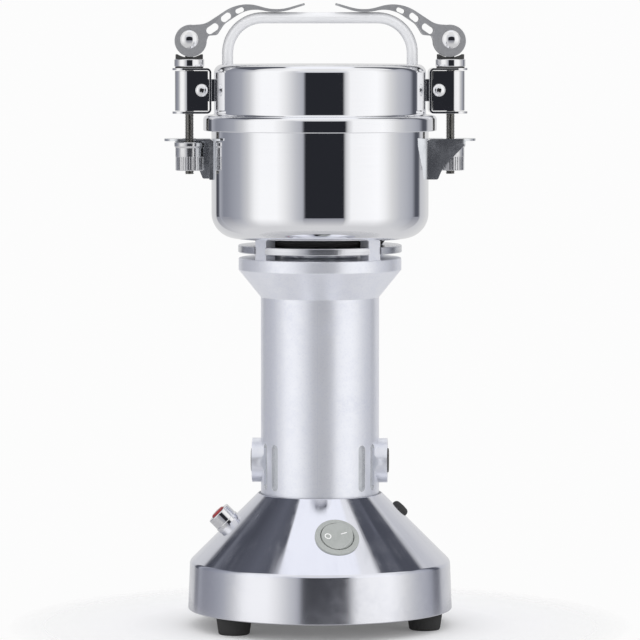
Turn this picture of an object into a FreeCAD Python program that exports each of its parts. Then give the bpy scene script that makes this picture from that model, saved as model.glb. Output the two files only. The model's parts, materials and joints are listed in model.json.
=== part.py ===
import FreeCAD, Part
import math
import os
import re

import Sketcher
from FreeCAD import Placement, Rotation, Vector

# Electric grain mill: a cast base with its switch and buttons, a motor tower, a steel grinding bowl
# and a bayonet lid that two cam levers hold down. Millimetres, Z up, origin on the ground at the
# centre of the base, front along -Y, the two clamps on the X axis.

SIZES = {
    # Feet and base
    "foot_height": 9.2,
    "foot_top_radius": 9.25,
    "foot_low_radius": 8.4,
    "foot_circle": 60.0,
    "foot_boss_radius": 4.2,
    "foot_screw_bore": 2.0,
    "foot_screw_depth": 14.0,
    "foot_recess": 5.0,
    "base_turn": 8.0,
    "rim_low_radius": 71.6,
    "rim_top_radius": 70.6,
    "shoulder_height": 35.0,
    "neck_radius": 33.6,
    "neck_height": 71.9,
    "base_wall": 3.5,
    "base_ledge": 66.0,
    "ledge_depth": 3.5,
    "ledge_radius": 24.0,
    "plate_depth": 2.0,
    "plate_vent_reach": 36.0,
    "plate_vent_length": 24.0,
    "plate_vent_width": 4.0,
    "screw_hole": 2.2,
    "screw_shank": 1.95,
    "tower_screw_circle": 27.9,
    # Switch and buttons, each at its height on the cone
    "switch_height": 53.4,
    "bezel_radius": 11.9,
    "bezel_lip": 1.9,
    "barrel_radius": 10.0,
    "barrel_bore": 9.0,
    "barrel_depth": 11.0,
    "spot_depth": 0.9,
    "rocker_half": 8.75,
    "rocker_pivot": -1.0,
    "rocker_low_slope": 6.8,
    "rocker_high_slope": 21.8,
    "pulse_height": 55.7,
    "pulse_radius": 6.8,
    "pulse_flange_radius": 7.2,
    "pulse_length": 7.8,
    "pulse_cap_radius": 4.2,
    "pulse_barrel_radius": 5.9,
    "pulse_barrel_depth": 9.0,
    "reset_height": 61.8,
    "reset_radius": 4.85,
    "reset_length": 3.2,
    "gland_height": 22.0,
    "cord_bore": 3.5,
    "gland_seat": 1.2,
    # Motor tower
    "tower_turn": -4.5,
    "column_radius": 32.0,
    "column_bore": 28.8,
    "column_top": 178.3,
    "collar_radius": 44.0,
    "collar_edge": 193.2,
    "collar_top": 199.7,
    "post_width": 8.5,
    "post_inner": 36.0,
    "bowl_low": 210.2,
    "plate_low": 202.6,
    "plate_top": 206.6,
    "plate_radius": 44.2,
    "hub_radius": 20.0,
    "hub_top": 208.7,
    "gasket_radius": 35.0,
    "recess_height": 87.2,
    "recess_length": 25.0,
    "recess_width": 5.0,
    "recess_depth": 1.5,
    "brush_height": 89.6,
    "boss_radius": 12.0,
    "boss_face": 36.6,
    "cap_radius": 6.6,
    "cap_face": 37.3,
    # Motor
    "shaft_radius": 4.0,
    "running_gap": 0.03,
    "bearing_radius": 11.0,
    "bearing_depth": 7.0,
    "low_bearing": 73.0,
    "high_bearing": 197.0,
    "core_radius": 15.0,
    "core_low": 110.0,
    "core_high": 150.0,
    "coil_depth": 9.0,
    "winding_slots": 12,
    "fan_low": 162.0,
    "fan_radius": 25.5,
    "fan_blades": 9,
    "stator_bore": 15.5,
    # Bowl and blades
    "bowl_radius": 58.6,
    "bowl_wall": 1.5,
    "bowl_corner": 13.5,
    "bowl_screw_circle": 40.0,
    "bowl_screw_head": 3.9,
    "bowl_rim": 274.0,
    "blade_low": 219.0,
    "blade_high": 227.0,
    "blade_reach": 48.0,
    "blade_thick": 2.0,
    "blade_half": 7.5,
    "blade_tip_half": 2.5,
    "blade_tip_bend": 4.5,
    "blade_bore": 3.0,
    # Lid
    "cap_wall_radius": 57.2,
    "lid_wall": 1.6,
    "lid_top": 303.9,
    "skirt_radius": 63.0,
    "skirt_bore": 60.4,
    "skirt_low": 268.2,
    "skirt_top": 276.6,
    "seal_low": 274.3,
    "handle_rod": 3.0,
    "handle_reach": 49.8,
    "handle_bar": 328.9,
    "handle_bend": 19.0,
    # Clamps, measured at one side and turned half round for the other
    "rod_reach": 70.45,
    "rod_radius": 2.47,
    "rod_low": 244.8,
    "pin_height": 317.3,
    "pin_radius": 5.0,
    "pin_half": 7.0,
    "cam_radius": 8.65,
    "cam_shift": 0.76,
    "lever_half": 6.6,
    "lever_slot": 2.9,
    "bracket_inner": 58.6,
    "bracket_wall": 1.15,
    "bracket_outer": 79.6,
    "bracket_half": 8.6,
    "bracket_top": 301.9,
    "bracket_low": 277.4,
    "strap_radius": 7.8,
    "strap_wall": 1.2,
    "strap_top": 300.3,
    "strap_low": 279.0,
    "strap_screw_x": 63.8,
    "strap_screw_z": 290.0,
    "strap_screw_bore": 1.8,
    "cup_radius": 8.1,
    "cup_top": 306.7,
    "saddle_radius": 7.4,
    "saddle_top": 309.3,
    "cradle_radius": 12.0,
    "cradle_low": 307.5,
    "catch_wall": 1.2,
    "catch_top": 263.9,
    "catch_low": 242.0,
    "catch_tip": 84.0,
    "catch_half": 9.9,
    "catch_slot": 3.6,
    "nut_radius": 7.6,
    "nut_rim": 8.2,
    "nut_low": 246.7,
    "nut_top": 262.1,
    "knurl_count": 24,
    "knurl_half": 0.5,
    "knurl_depth": 0.35,
    "knurl_length": 7.3,
}

doc = FreeCAD.newDocument("GrainMill")
sheet = doc.addObject("Spreadsheet::Sheet", "Sizes")
for line, (alias, amount) in enumerate(SIZES.items(), start=1):
    sheet.set(f"A{line}", alias)
    sheet.set(f"B{line}", str(amount))
    sheet.setAlias(f"B{line}", alias)
doc.recompute()

PARTS = []
LEFT = 180.0
RIGHT = 0.0
SIDES = (("left", LEFT), ("right", RIGHT))


def bound(text):
    """The expression with the name of each size pointing at the sheet."""
    return re.sub(r"[a-z_]+", lambda word: f"Sizes.{word[0]}" if word[0] in SIZES else word[0], str(text))


def number(text):
    """The value of an expression of the sheet's sizes."""
    return float(sheet.evalExpression(str(text)))


def bind(thing, name, text):
    """Set a property now, and keep it bound to the sheet where the text names a size."""
    if bound(text) == str(text):
        setattr(thing, name, number(text))
    else:
        thing.setExpression(name, bound(text))


def origin(body, role):
    """One of the body's own origin planes or axes."""
    return next(feature for feature in body.Origin.OriginFeatures if feature.Role == role)


def new_body(label):
    body = doc.addObject("PartDesign::Body", label)
    body.Label = label
    return body


def finish(label, thing):
    """Name a sub-part and list it for export."""
    thing.Label = label
    PARTS.append(thing)
    return thing


def place(thing, reach="0", height="0", turn=0.0):
    """Stand a sub-part at a distance from the vertical axis, in the direction of the turn."""
    angle = number(turn)
    thing.Placement = Placement(Vector(0, 0, 0), Rotation(Vector(0, 0, 1), angle))
    thing.setExpression(".Placement.Base.x", bound(f"({reach}) * cos({turn})"))
    thing.setExpression(".Placement.Base.y", bound(f"({reach}) * sin({turn})"))
    thing.setExpression(".Placement.Base.z", bound(f"({height})"))
    return thing


def new_sketch(body, name, plane, lift="0", turn=0.0):
    """A sketch on an origin plane turned about its upright, then lifted along its own normal."""
    sketch = body.newObject("Sketcher::SketchObject", name)
    sketch.AttachmentSupport = (origin(body, plane), [""])
    sketch.MapMode = "FlatFace"
    upright = Vector(0, 1, 0) if plane != "XY_Plane" else Vector(0, 0, 1)
    sketch.AttachmentOffset = Placement(Vector(0, 0, 0), Rotation(upright, turn))
    lean = turn if plane != "XY_Plane" else 0.0
    if str(lift) != "0":
        sketch.setExpression("AttachmentOffset.Base.x", bound(f"({lift}) * sin({lean})"))
        sketch.setExpression("AttachmentOffset.Base.z", bound(f"({lift}) * cos({lean})"))
    return sketch


def dimension(sketch, kind, places, text):
    """A length in the sketch, bound to the sheet."""
    index = sketch.addConstraint(Sketcher.Constraint(kind, *places, number(text)))
    if bound(text) != str(text):
        sketch.setExpression(f"Constraints[{index}]", bound(text))


def outline(body, name, plane, corners, closed=True, **where):
    """A sketch of straight runs through corners (x, y), rounded where a third value gives a radius."""
    sketch = new_sketch(body, name, plane, **where)
    count = len(corners)
    points = [Vector(number(corner[0]), number(corner[1]), 0) for corner in corners]
    entries, exits, arcs = list(points), list(points), {}
    for index, corner in enumerate(corners):
        if len(corner) < 3:
            continue
        radius = number(corner[2])
        back = (points[index - 1] - points[index]).normalize()
        ahead = (points[(index + 1) % count] - points[index]).normalize()
        half = back.getAngle(ahead) / 2
        entries[index] = points[index] + back * (radius / math.tan(half))
        exits[index] = points[index] + ahead * (radius / math.tan(half))
        centre = points[index] + (back + ahead).normalize() * (radius / math.sin(half))
        leftward = back.cross(ahead).z < 0
        first, last = (entries[index], exits[index]) if leftward else (exits[index], entries[index])
        start = math.atan2(first.y - centre.y, first.x - centre.x)
        end = math.atan2(last.y - centre.y, last.x - centre.x)
        arcs[index] = (centre, radius, start, end, leftward)
    runs = count if closed else count - 1
    for index in range(runs):
        follower = (index + 1) % count
        sketch.addGeometry(Part.LineSegment(exits[index], entries[follower]), False)
    for index in range(runs if closed else runs + 1):
        before = (index - 1) % count
        if index in arcs:
            centre, radius, start, end, leftward = arcs[index]
            circle = Part.Circle(centre, Vector(0, 0, 1), radius)
            arc = sketch.addGeometry(Part.ArcOfCircle(circle, start, end), False)
            near, far = (1, 2) if leftward else (2, 1)
            sketch.addConstraint(Sketcher.Constraint("Tangent", before, 2, arc, near))
            sketch.addConstraint(Sketcher.Constraint("Tangent", arc, far, index, 1))
            mark = sketch.addGeometry(Part.Point(points[index]), True)
            sketch.addConstraint(Sketcher.Constraint("PointOnObject", mark, 1, before))
            sketch.addConstraint(Sketcher.Constraint("PointOnObject", mark, 1, index))
            dimension(sketch, "Radius", (arc,), corners[index][2])
            anchor = (mark, 1)
        elif closed or 0 < index < count - 1:
            sketch.addConstraint(Sketcher.Constraint("Coincident", before, 2, index, 1))
            anchor = (index, 1)
        else:
            anchor = (0, 1) if index == 0 else (runs - 1, 2)
        dimension(sketch, "DistanceX", (-1, 1, *anchor), corners[index][0])
        dimension(sketch, "DistanceY", (-1, 1, *anchor), corners[index][1])
    return sketch


def ring(body, name, plane, radii, centre=("0", "0"), **where):
    """A sketch of one circle, or of circles with the same centre."""
    sketch = new_sketch(body, name, plane, **where)
    middle = Vector(number(centre[0]), number(centre[1]), 0)
    for radius in radii:
        circle = sketch.addGeometry(Part.Circle(middle, Vector(0, 0, 1), number(radius)), False)
        dimension(sketch, "Radius", (circle,), radius)
        dimension(sketch, "DistanceX", (-1, 1, circle, 3), centre[0])
        dimension(sketch, "DistanceY", (-1, 1, circle, 3), centre[1])
    return sketch


def obround(body, name, plane, centre, length, width, tilt=0.0, **where):
    """A sketch of a slot with round ends, its long way tilted from the sketch's x."""
    sketch = new_sketch(body, name, plane, **where)
    middle = Vector(number(centre[0]), number(centre[1]), 0)
    radius = number(width) / 2
    along = Vector(math.cos(math.radians(tilt)), math.sin(math.radians(tilt)), 0)
    across = Vector(-along.y, along.x, 0)
    reach = f"(({length}) - ({width})) / 2"
    ends = (middle + along * number(reach), middle - along * number(reach))
    quarter = math.pi / 2
    lean = math.radians(tilt)
    first = sketch.addGeometry(Part.ArcOfCircle(
        Part.Circle(ends[0], Vector(0, 0, 1), radius), lean - quarter, lean + quarter), False)
    second = sketch.addGeometry(Part.ArcOfCircle(
        Part.Circle(ends[1], Vector(0, 0, 1), radius), lean + quarter, lean + 3 * quarter), False)
    upper = sketch.addGeometry(Part.LineSegment(ends[0] + across * radius, ends[1] + across * radius), False)
    lower = sketch.addGeometry(Part.LineSegment(ends[1] - across * radius, ends[0] - across * radius), False)
    for join in ((first, 2, upper, 1), (upper, 2, second, 1), (second, 2, lower, 1), (lower, 2, first, 1)):
        sketch.addConstraint(Sketcher.Constraint("Tangent", *join))
    dimension(sketch, "Radius", (first,), f"({width}) / 2")
    for arc, sign in ((first, "+"), (second, "-")):
        dimension(sketch, "DistanceX", (-1, 1, arc, 3), f"{centre[0]} {sign} {reach} * cos({tilt})")
        dimension(sketch, "DistanceY", (-1, 1, arc, 3), f"{centre[1]} {sign} {reach} * sin({tilt})")
    return sketch


def revolve(body, corners, name="profile"):
    """Turn a profile of (distance from the axis, height) corners into a round solid."""
    sketch = outline(body, f"{body.Name}_{name}", "XZ_Plane", corners)
    turned = body.newObject("PartDesign::Revolution", f"{body.Name}_{name}_turned")
    turned.Profile = sketch
    turned.ReferenceAxis = (sketch, ["V_Axis"])
    turned.Angle = 360
    sketch.Visibility = False
    doc.recompute()
    return turned


def pad(body, sketch, length, both=False, backward=False):
    """Raise a sketch along its normal, against it, or to both sides."""
    solid = body.newObject("PartDesign::Pad", f"{sketch.Name}_pad")
    solid.Profile = sketch
    bind(solid, "Length", length)
    solid.SideType = "Symmetric" if both else "One side"
    solid.Reversed = backward
    doc.recompute()
    return solid


def pocket(body, sketch, length=None, both=False, backward=False):
    """Cut a sketch into the body, and make sure that it took something away."""
    before = body.Shape.Volume
    cut = body.newObject("PartDesign::Pocket", f"{sketch.Name}_cut")
    cut.Profile = sketch
    if length is None:
        cut.Type = "ThroughAll"
    else:
        bind(cut, "Length", length)
    cut.SideType = "Symmetric" if both else "One side"
    cut.Reversed = backward
    doc.recompute()
    if body.Shape.Volume > before - 0.01:
        raise RuntimeError(f"{cut.Name} cuts nothing")
    return cut


def polar(body, feature, count):
    """Repeat a feature round the body's vertical axis."""
    pattern = body.newObject("PartDesign::PolarPattern", f"{feature.Name}_round")
    pattern.Originals = [feature]
    pattern.Axis = (origin(body, "Z_Axis"), [""])
    pattern.Angle = 360
    pattern.Occurrences = count
    body.Tip = pattern
    doc.recompute()
    return pattern


def drum(body, kind, name, radius, height, base, rotation=None):
    """An added or a cut cylinder, standing anywhere in the body."""
    cylinder = body.newObject(f"PartDesign::{kind}Cylinder", name)
    bind(cylinder, "Radius", radius)
    bind(cylinder, "Height", height)
    cylinder.Placement = Placement(Vector(*base), rotation or Rotation())
    doc.recompute()
    return cylinder


# Places on the cone of the base

CONE_RADIUS = ("rim_top_radius - ({0} - shoulder_height) * (rim_top_radius - neck_radius)"
               " / (neck_height - shoulder_height)")


def cone_axes(turn):
    """Rotation whose x runs level round the cone, y up its slope and z straight out of it."""
    run = number("rim_top_radius - neck_radius")
    rise = number("neck_height - shoulder_height")
    outward = Vector(math.cos(math.radians(turn)), math.sin(math.radians(turn)), 0)
    level = Vector(-outward.y, outward.x, 0)
    normal = (outward * rise + Vector(0, 0, run)).normalize()
    return Rotation(level, normal.cross(level), normal, "ZXY")


def on_cone(height, turn, out=0.0):
    """Point on the cone's surface, or a little out of it along its normal."""
    radius = number(CONE_RADIUS.format(height))
    angle = math.radians(turn)
    point = Vector(radius * math.cos(angle), radius * math.sin(angle), number(height))
    return point + cone_axes(turn).multVec(Vector(0, 0, out))


def set_on_cone(thing, height, turn):
    """Stand a sub-part on the cone, with the base's own turn."""
    whole = f"{turn} + base_turn"
    thing.Placement = Placement(Vector(0, 0, 0), cone_axes(number(whole)))
    radius = CONE_RADIUS.format(height)
    thing.setExpression(".Placement.Base.x", bound(f"({radius}) * cos({whole})"))
    thing.setExpression(".Placement.Base.y", bound(f"({radius}) * sin({whole})"))
    thing.setExpression(".Placement.Base.z", bound(height))
    return thing


SWITCH_TURN = -90.0
PULSE_TURN = 172.0
RESET_TURN = 0.0
GLAND_TURN = 90.0
FOOT_TURNS = {"foot_left": -150.0, "foot_right": -30.0, "foot_rear": 90.0}


# Base

def make_base():
    body = new_body("base_housing")
    revolve(body, [
        ("rim_low_radius", "foot_height"),
        ("rim_top_radius", "shoulder_height", 1.2),
        ("neck_radius", "neck_height", 0.8),
        ("column_radius + 0.2", "neck_height"),
        ("column_radius + 0.2", "base_ledge"),
        ("ledge_radius", "base_ledge"),
        ("ledge_radius", "base_ledge - ledge_depth"),
        ("neck_radius + 5", "base_ledge - ledge_depth", 2),
        ("rim_top_radius - base_wall", "shoulder_height - base_wall / 2", 3),
        ("rim_low_radius - base_wall", "foot_height"),
    ])
    boss = ring(body, "foot_boss", "XY_Plane", ["foot_boss_radius"], ("foot_circle", "0"),
                lift="foot_height + plate_depth")
    pad(body, boss, "shoulder_height - foot_height - plate_depth + 5.5")
    polar(body, body.Tip, 3)
    hole = ring(body, "foot_boss_hole", "XY_Plane", ["foot_screw_bore"], ("foot_circle", "0"),
                lift="foot_height + plate_depth")
    pocket(body, hole, "foot_screw_depth", backward=True)
    polar(body, body.Tip, 3)
    screw_hole = ring(body, "tower_screw_hole", "XY_Plane", ["screw_hole"], ("tower_screw_circle", "0"),
                      lift="base_ledge - ledge_depth - 1")
    pocket(body, screw_hole, "ledge_depth + 2", backward=True)
    polar(body, body.Tip, 4)
    for name, height, turn, spot, bore in (
            ("switch", "switch_height", SWITCH_TURN + 30.0, "bezel_radius + 0.3", "barrel_radius + 0.2"),
            ("pulse", "pulse_height", PULSE_TURN + 30.0, "pulse_flange_radius + 0.3",
             "pulse_barrel_radius + 0.2"),
            ("reset", "reset_height", RESET_TURN + 30.0, "reset_radius + 0.3", "reset_radius + 0.3")):
        axes = cone_axes(turn)
        spot_base = on_cone(number(height), turn, -number("spot_depth"))
        drum(body, "Subtractive", f"{name}_spot", spot, "6", spot_base, axes)
        bore_base = on_cone(number(height), turn, -number("barrel_depth + 1"))
        drum(body, "Subtractive", f"{name}_bore", bore, "20", bore_base, axes)
    gland_angle = math.radians(GLAND_TURN + 30.0)
    inside = number("rim_top_radius - base_wall - 3")
    gland_line = Vector(math.cos(gland_angle), math.sin(gland_angle), 0)
    gland_base = gland_line * inside + Vector(0, 0, number("gland_height"))
    outward = Rotation(Vector(0, 0, 1), gland_line)
    drum(body, "Subtractive", "gland_hole", "cord_bore + 1.6", "20", gland_base, outward)
    seat = number("rim_top_radius - gland_seat") - inside
    drum(body, "Subtractive", "gland_recess", "cord_bore + 3.3", "9",
         gland_base + outward.multVec(Vector(0, 0, seat)), outward)
    place(body, turn="base_turn - 30")
    return finish("base_housing", body)


def make_base_plate():
    body = new_body("base_plate")
    sketch = ring(body, "base_plate_disc", "XY_Plane", ["rim_low_radius - base_wall - 0.3"],
                  lift="foot_height")
    pad(body, sketch, "plate_depth")
    hole = ring(body, "base_plate_hole", "XY_Plane", ["screw_hole"], ("foot_circle", "0"),
                lift="foot_height")
    pocket(body, hole, "plate_depth", backward=True)
    polar(body, body.Tip, 3)
    vent = obround(body, "base_plate_vent", "XY_Plane", ("plate_vent_reach", "0"), "plate_vent_length",
                   "plate_vent_width", lift="foot_height")
    pocket(body, vent, "plate_depth", backward=True)
    polar(body, body.Tip, 12)
    place(body, turn="base_turn - 30")
    return finish("base_plate", body)


def make_feet():
    for label, turn in FOOT_TURNS.items():
        body = new_body(label)
        revolve(body, [
            ("screw_hole", "foot_height"),
            ("foot_top_radius", "foot_height"),
            ("foot_low_radius", "0", 1.2),
            ("4.4", "0"),
            ("4.4", "foot_recess"),
            ("screw_hole", "foot_recess"),
        ])
        place(body, "foot_circle", turn=f"{turn} + base_turn")
        finish(label, body)


def bundle(label, things):
    """Several separate solids as one sub-part."""
    group = doc.addObject("Part::Compound", label)
    group.Links = things
    doc.recompute()
    return group


def screw(name, head_radius, head_depth, shank_radius, length):
    """Pan-head screw whose head stands on the origin plane, its shank upward."""
    body = new_body(name)
    revolve(body, [
        ("0", f"-({head_depth})"),
        (head_radius, f"-({head_depth})", f"({head_depth}) * 0.45"),
        (head_radius, "0"),
        (shank_radius, "0"),
        (shank_radius, length),
        ("0", length),
    ])
    return body


def screw_set(label, places, **sizes):
    """Screws of one size, kept together as separate solids."""
    screws = []
    for index, (reach, height, turn) in enumerate(places, start=1):
        body = screw(f"{label}_{index}", **sizes)
        place(body, reach, height, turn)
        screws.append(body)
    return finish(label, bundle(label, screws))


def make_base_screws():
    screw_set(
        "foot_screws",
        [("foot_circle", "foot_recess", f"{turn} + base_turn") for turn in FOOT_TURNS.values()],
        head_radius="3.8", head_depth="2.6", shank_radius="screw_shank", length="16")
    screw_set(
        "tower_screws",
        [("tower_screw_circle", "base_ledge - ledge_depth", f"base_turn - 30 + {90 * step}")
         for step in range(4)],
        head_radius="3.6", head_depth="2.4", shank_radius="screw_shank", length="ledge_depth + 4.8")


# Switch and buttons

def make_switch():
    bezel = new_body("rocker_bezel")
    revolve(bezel, [
        ("barrel_bore", "-barrel_depth"),
        ("barrel_bore", "bezel_lip + 0.3", 0.4),
        ("bezel_radius", "bezel_lip", 1.0),
        ("bezel_radius", "0.05 - spot_depth"),
        ("barrel_radius", "0.05 - spot_depth"),
        ("barrel_radius", "-barrel_depth"),
    ])
    pin = ring(bezel, "rocker_pin", "XZ_Plane", ["1.0"], ("0", "rocker_pivot"))
    pad(bezel, pin, "19", both=True)
    floor = ring(bezel, "rocker_bezel_floor", "XY_Plane", ["barrel_bore + 0.6"], lift="-barrel_depth - 2")
    pad(bezel, floor, "2.5")
    for name, offset in (("upper", 5.2), ("lower", -5.2)):
        terminal = outline(bezel, f"rocker_terminal_{name}", "XY_Plane", [
            (-2.4, offset - 0.4),
            (2.4, offset - 0.4),
            (2.4, offset + 0.4),
            (-2.4, offset + 0.4),
        ], lift="-barrel_depth - 2")
        pad(bezel, terminal, "7", backward=True)
    set_on_cone(bezel, "switch_height", SWITCH_TURN)
    finish("rocker_bezel", bezel)

    rocker = new_body("rocker")
    ball = rocker.newObject("PartDesign::AdditiveSphere", "rocker_ball")
    bind(ball, "Radius", "rocker_half")
    ball.Placement = Placement(Vector(0, 0, number("rocker_pivot")), Rotation())
    doc.recompute()
    above = outline(rocker, "rocker_face", "XZ_Plane", [
        ("-12", "0.1 + 12 * tan(rocker_low_slope)"),
        ("0", "0.1", 14),
        ("12", "0.1 + 12 * tan(rocker_high_slope)"),
        ("12", "14"),
        ("-12", "14"),
    ])
    pocket(rocker, above, "40", both=True)
    below = outline(rocker, "rocker_underside", "XZ_Plane", [
        ("-12", "-5"), ("-12", "-12"), ("12", "-12"), ("12", "-5")])
    pocket(rocker, below, "40", both=True)
    pivot = ring(rocker, "rocker_pivot_hole", "XZ_Plane", ["1.05"], ("0", "rocker_pivot"))
    pocket(rocker, pivot, "40", both=True)
    set_on_cone(rocker, "switch_height", SWITCH_TURN)
    finish("rocker", rocker)


def make_pulse_button():
    body = new_body("pulse_bezel")
    revolve(body, [
        ("pulse_cap_radius + 0.35", "-pulse_barrel_depth"),
        ("pulse_cap_radius + 0.35", "pulse_length", 0.5),
        ("pulse_radius", "pulse_length", 0.7),
        ("pulse_radius", "1.6"),
        ("pulse_flange_radius", "1.6", 0.3),
        ("pulse_flange_radius", "0.05 - spot_depth"),
        ("pulse_barrel_radius", "0.05 - spot_depth"),
        ("pulse_barrel_radius", "-pulse_barrel_depth"),
    ])
    set_on_cone(body, "pulse_height", PULSE_TURN)
    finish("pulse_bezel", body)
    button = new_body("pulse_button")
    revolve(button, [
        ("0", "-7"),
        ("pulse_cap_radius", "-7"),
        ("pulse_cap_radius", "pulse_length + 0.9", 1.2),
        ("0", "pulse_length + 1.3"),
    ])
    set_on_cone(button, "pulse_height", PULSE_TURN)
    finish("pulse_button", button)


def make_reset_button():
    body = new_body("reset_button")
    revolve(body, [
        ("0", "-4"),
        ("reset_radius", "-4"),
        ("reset_radius", "reset_length - 0.4", 2.2),
        ("0", "reset_length"),
    ])
    set_on_cone(body, "reset_height", RESET_TURN)
    finish("reset_button", body)


def make_gland():
    body = new_body("cord_gland")
    revolve(body, [
        ("cord_bore", "-gland_seat - 3.6"),
        ("cord_bore", "0.3"),
        ("cord_bore + 3.2", "0.3", 0.8),
        ("cord_bore + 3.2", "-gland_seat"),
        ("cord_bore + 1.5", "-gland_seat"),
        ("cord_bore + 1.5", "-gland_seat - 2.45"),
        ("cord_bore + 2.6", "-gland_seat - 2.45"),
        ("cord_bore + 2.6", "-gland_seat - 3.6"),
    ])
    turn = GLAND_TURN + number("base_turn")
    outward = Vector(math.cos(math.radians(turn)), math.sin(math.radians(turn)), 0)
    reach = number("rim_top_radius")
    body.Placement = Placement(outward * reach + Vector(0, 0, number("gland_height")),
                               Rotation(Vector(0, 0, 1), outward))
    return finish("cord_gland", body)


# Tower

# Where the upright recesses stand round the column, counted from its front
RECESS_TURNS = (47.3, 64.8, 115.2, 132.7, -47.3, -64.8, -115.2, -132.7)


def make_tower():
    body = new_body("tower_casting")
    revolve(body, [
        ("ledge_radius + 1", "base_ledge"),
        ("column_radius", "base_ledge"),
        ("column_radius", "column_top"),
        ("collar_radius", "collar_edge", 0.8),
        ("collar_radius", "collar_top", 0.8),
        ("hub_radius", "collar_top", 1.0),
        ("hub_radius", "hub_top"),
        ("shaft_radius + 3", "hub_top"),
        ("shaft_radius + 3", "high_bearing + bearing_depth"),
        ("bearing_radius", "high_bearing + bearing_depth"),
        ("bearing_radius", "high_bearing - 0.5"),
        ("hub_radius", "high_bearing - 0.5"),
        ("hub_radius", "collar_edge - 1"),
        ("column_bore", "column_top + 8", 3),
        ("column_bore", "low_bearing - 2"),
        ("ledge_radius + 1", "low_bearing - 2"),
    ])
    foot_hole = ring(body, "tower_foot_hole", "XY_Plane", ["screw_shank + 0.05"],
                     ("tower_screw_circle", "0"), lift="base_ledge",
                     turn=number("base_turn - 30 - tower_turn"))
    pocket(body, foot_hole, "low_bearing - 2 - base_ledge", backward=True)
    polar(body, body.Tip, 4)
    post = outline(body, "bowl_post", "XY_Plane", [
        ("post_inner", "-post_width / 2 + 0.5"),
        ("collar_radius - 1", "-post_width / 2"),
        ("collar_radius - 1", "post_width / 2"),
        ("post_inner", "post_width / 2 - 0.5"),
    ], lift="collar_top - 0.5", turn=45.0)
    pad(body, post, "bowl_low - collar_top + 0.5")
    polar(body, body.Tip, 4)
    screw_bore = ring(body, "bowl_screw_bore", "XY_Plane", ["screw_shank + 0.05"],
                      ("bowl_screw_circle", "0"), lift="bowl_low", turn=45.0)
    pocket(body, screw_bore, "9")
    polar(body, body.Tip, 4)
    sideways = Rotation(Vector(0, 0, 1), Vector(1, 0, 0))
    height = number("brush_height")
    reach = number("boss_face")
    drum(body, "Additive", "brush_boss", "boss_radius", "boss_face * 2", (-reach, 0, height), sideways)
    drum(body, "Subtractive", "motor_bore", "column_bore", "column_top - base_ledge - 12",
         (0, 0, number("low_bearing") - 2))
    drum(body, "Subtractive", "brush_bore", "cap_radius + 0.05", "100", (-50, 0, height), sideways)
    for index, turn in enumerate(RECESS_TURNS, start=1):
        recess = obround(body, f"recess_{index}", "XZ_Plane", ("0", "recess_height"), "recess_length",
                         "recess_width", tilt=90.0, turn=turn, lift="column_radius - recess_depth")
        pocket(body, recess, "recess_depth * 2", backward=True)
    place(body, turn="tower_turn")
    return finish("tower_casting", body)


def make_deflector():
    body = new_body("deflector_plate")
    revolve(body, [
        ("hub_radius + 0.3", "plate_low"),
        ("plate_radius", "plate_low", 0.6),
        ("plate_radius", "plate_top", 0.6),
        ("hub_radius + 0.3", "plate_top"),
    ])
    notch = outline(body, "post_notch", "XY_Plane", [
        ("post_inner - 0.3", "-post_width / 2 - 0.3"),
        ("plate_radius + 3", "-post_width / 2 - 0.3"),
        ("plate_radius + 3", "post_width / 2 + 0.3"),
        ("post_inner - 0.3", "post_width / 2 + 0.3"),
    ], lift="plate_low", turn=45.0)
    pocket(body, notch, "plate_top - plate_low", backward=True)
    polar(body, body.Tip, 4)
    place(body, turn="tower_turn")
    return finish("deflector_plate", body)


def turned_part(label, corners):
    """Round sub-part on the mill's own axis."""
    body = new_body(label)
    revolve(body, corners)
    return finish(label, body)


def make_brushes():
    """Brush holders, carbons and springs in the side bosses, and the two screwed caps that keep them in."""
    groups = {"brush_holders": [], "carbon_brushes": [], "brush_springs": []}
    height = number("brush_height")
    for side, turn in SIDES:
        whole = turn + number("tower_turn")
        axis = Vector(math.cos(math.radians(whole)), math.sin(math.radians(whole)), 0)
        standing = Placement(Vector(0, 0, height), Rotation(Vector(0, 0, 1), axis))
        profiles = {
            "brush_holders": [("3.6", "13"), ("6.5", "13"), ("6.5", "30"), ("3.6", "30")],
            "carbon_brushes": [("0", "9.2"), ("3.5", "9.2"), ("3.5", "22"), ("0", "22")],
            "brush_springs": [("1.6", "22"), ("2.8", "22"), ("2.8", "30.5"), ("1.6", "30.5")],
        }
        for name, corners in profiles.items():
            body = new_body(f"{name}_{side}")
            revolve(body, corners)
            body.Placement = standing
            groups[name].append(body)
        cap = new_body(f"brush_cap_{side}")
        revolve(cap, [
            ("0", "30.5"),
            ("cap_radius", "30.5"),
            ("cap_radius", "cap_face", 0.5),
            ("0", "cap_face"),
        ])
        slot = outline(cap, f"cap_slot_{side}", "XY_Plane",
                       [(-5.2, -0.7), (5.2, -0.7), (5.2, 0.7), (-5.2, 0.7)], lift="cap_face")
        pocket(cap, slot, "1.6")
        cap.Placement = standing
        finish(f"brush_cap_{side}", cap)
    for name, bodies in groups.items():
        finish(name, bundle(name, bodies))


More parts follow.
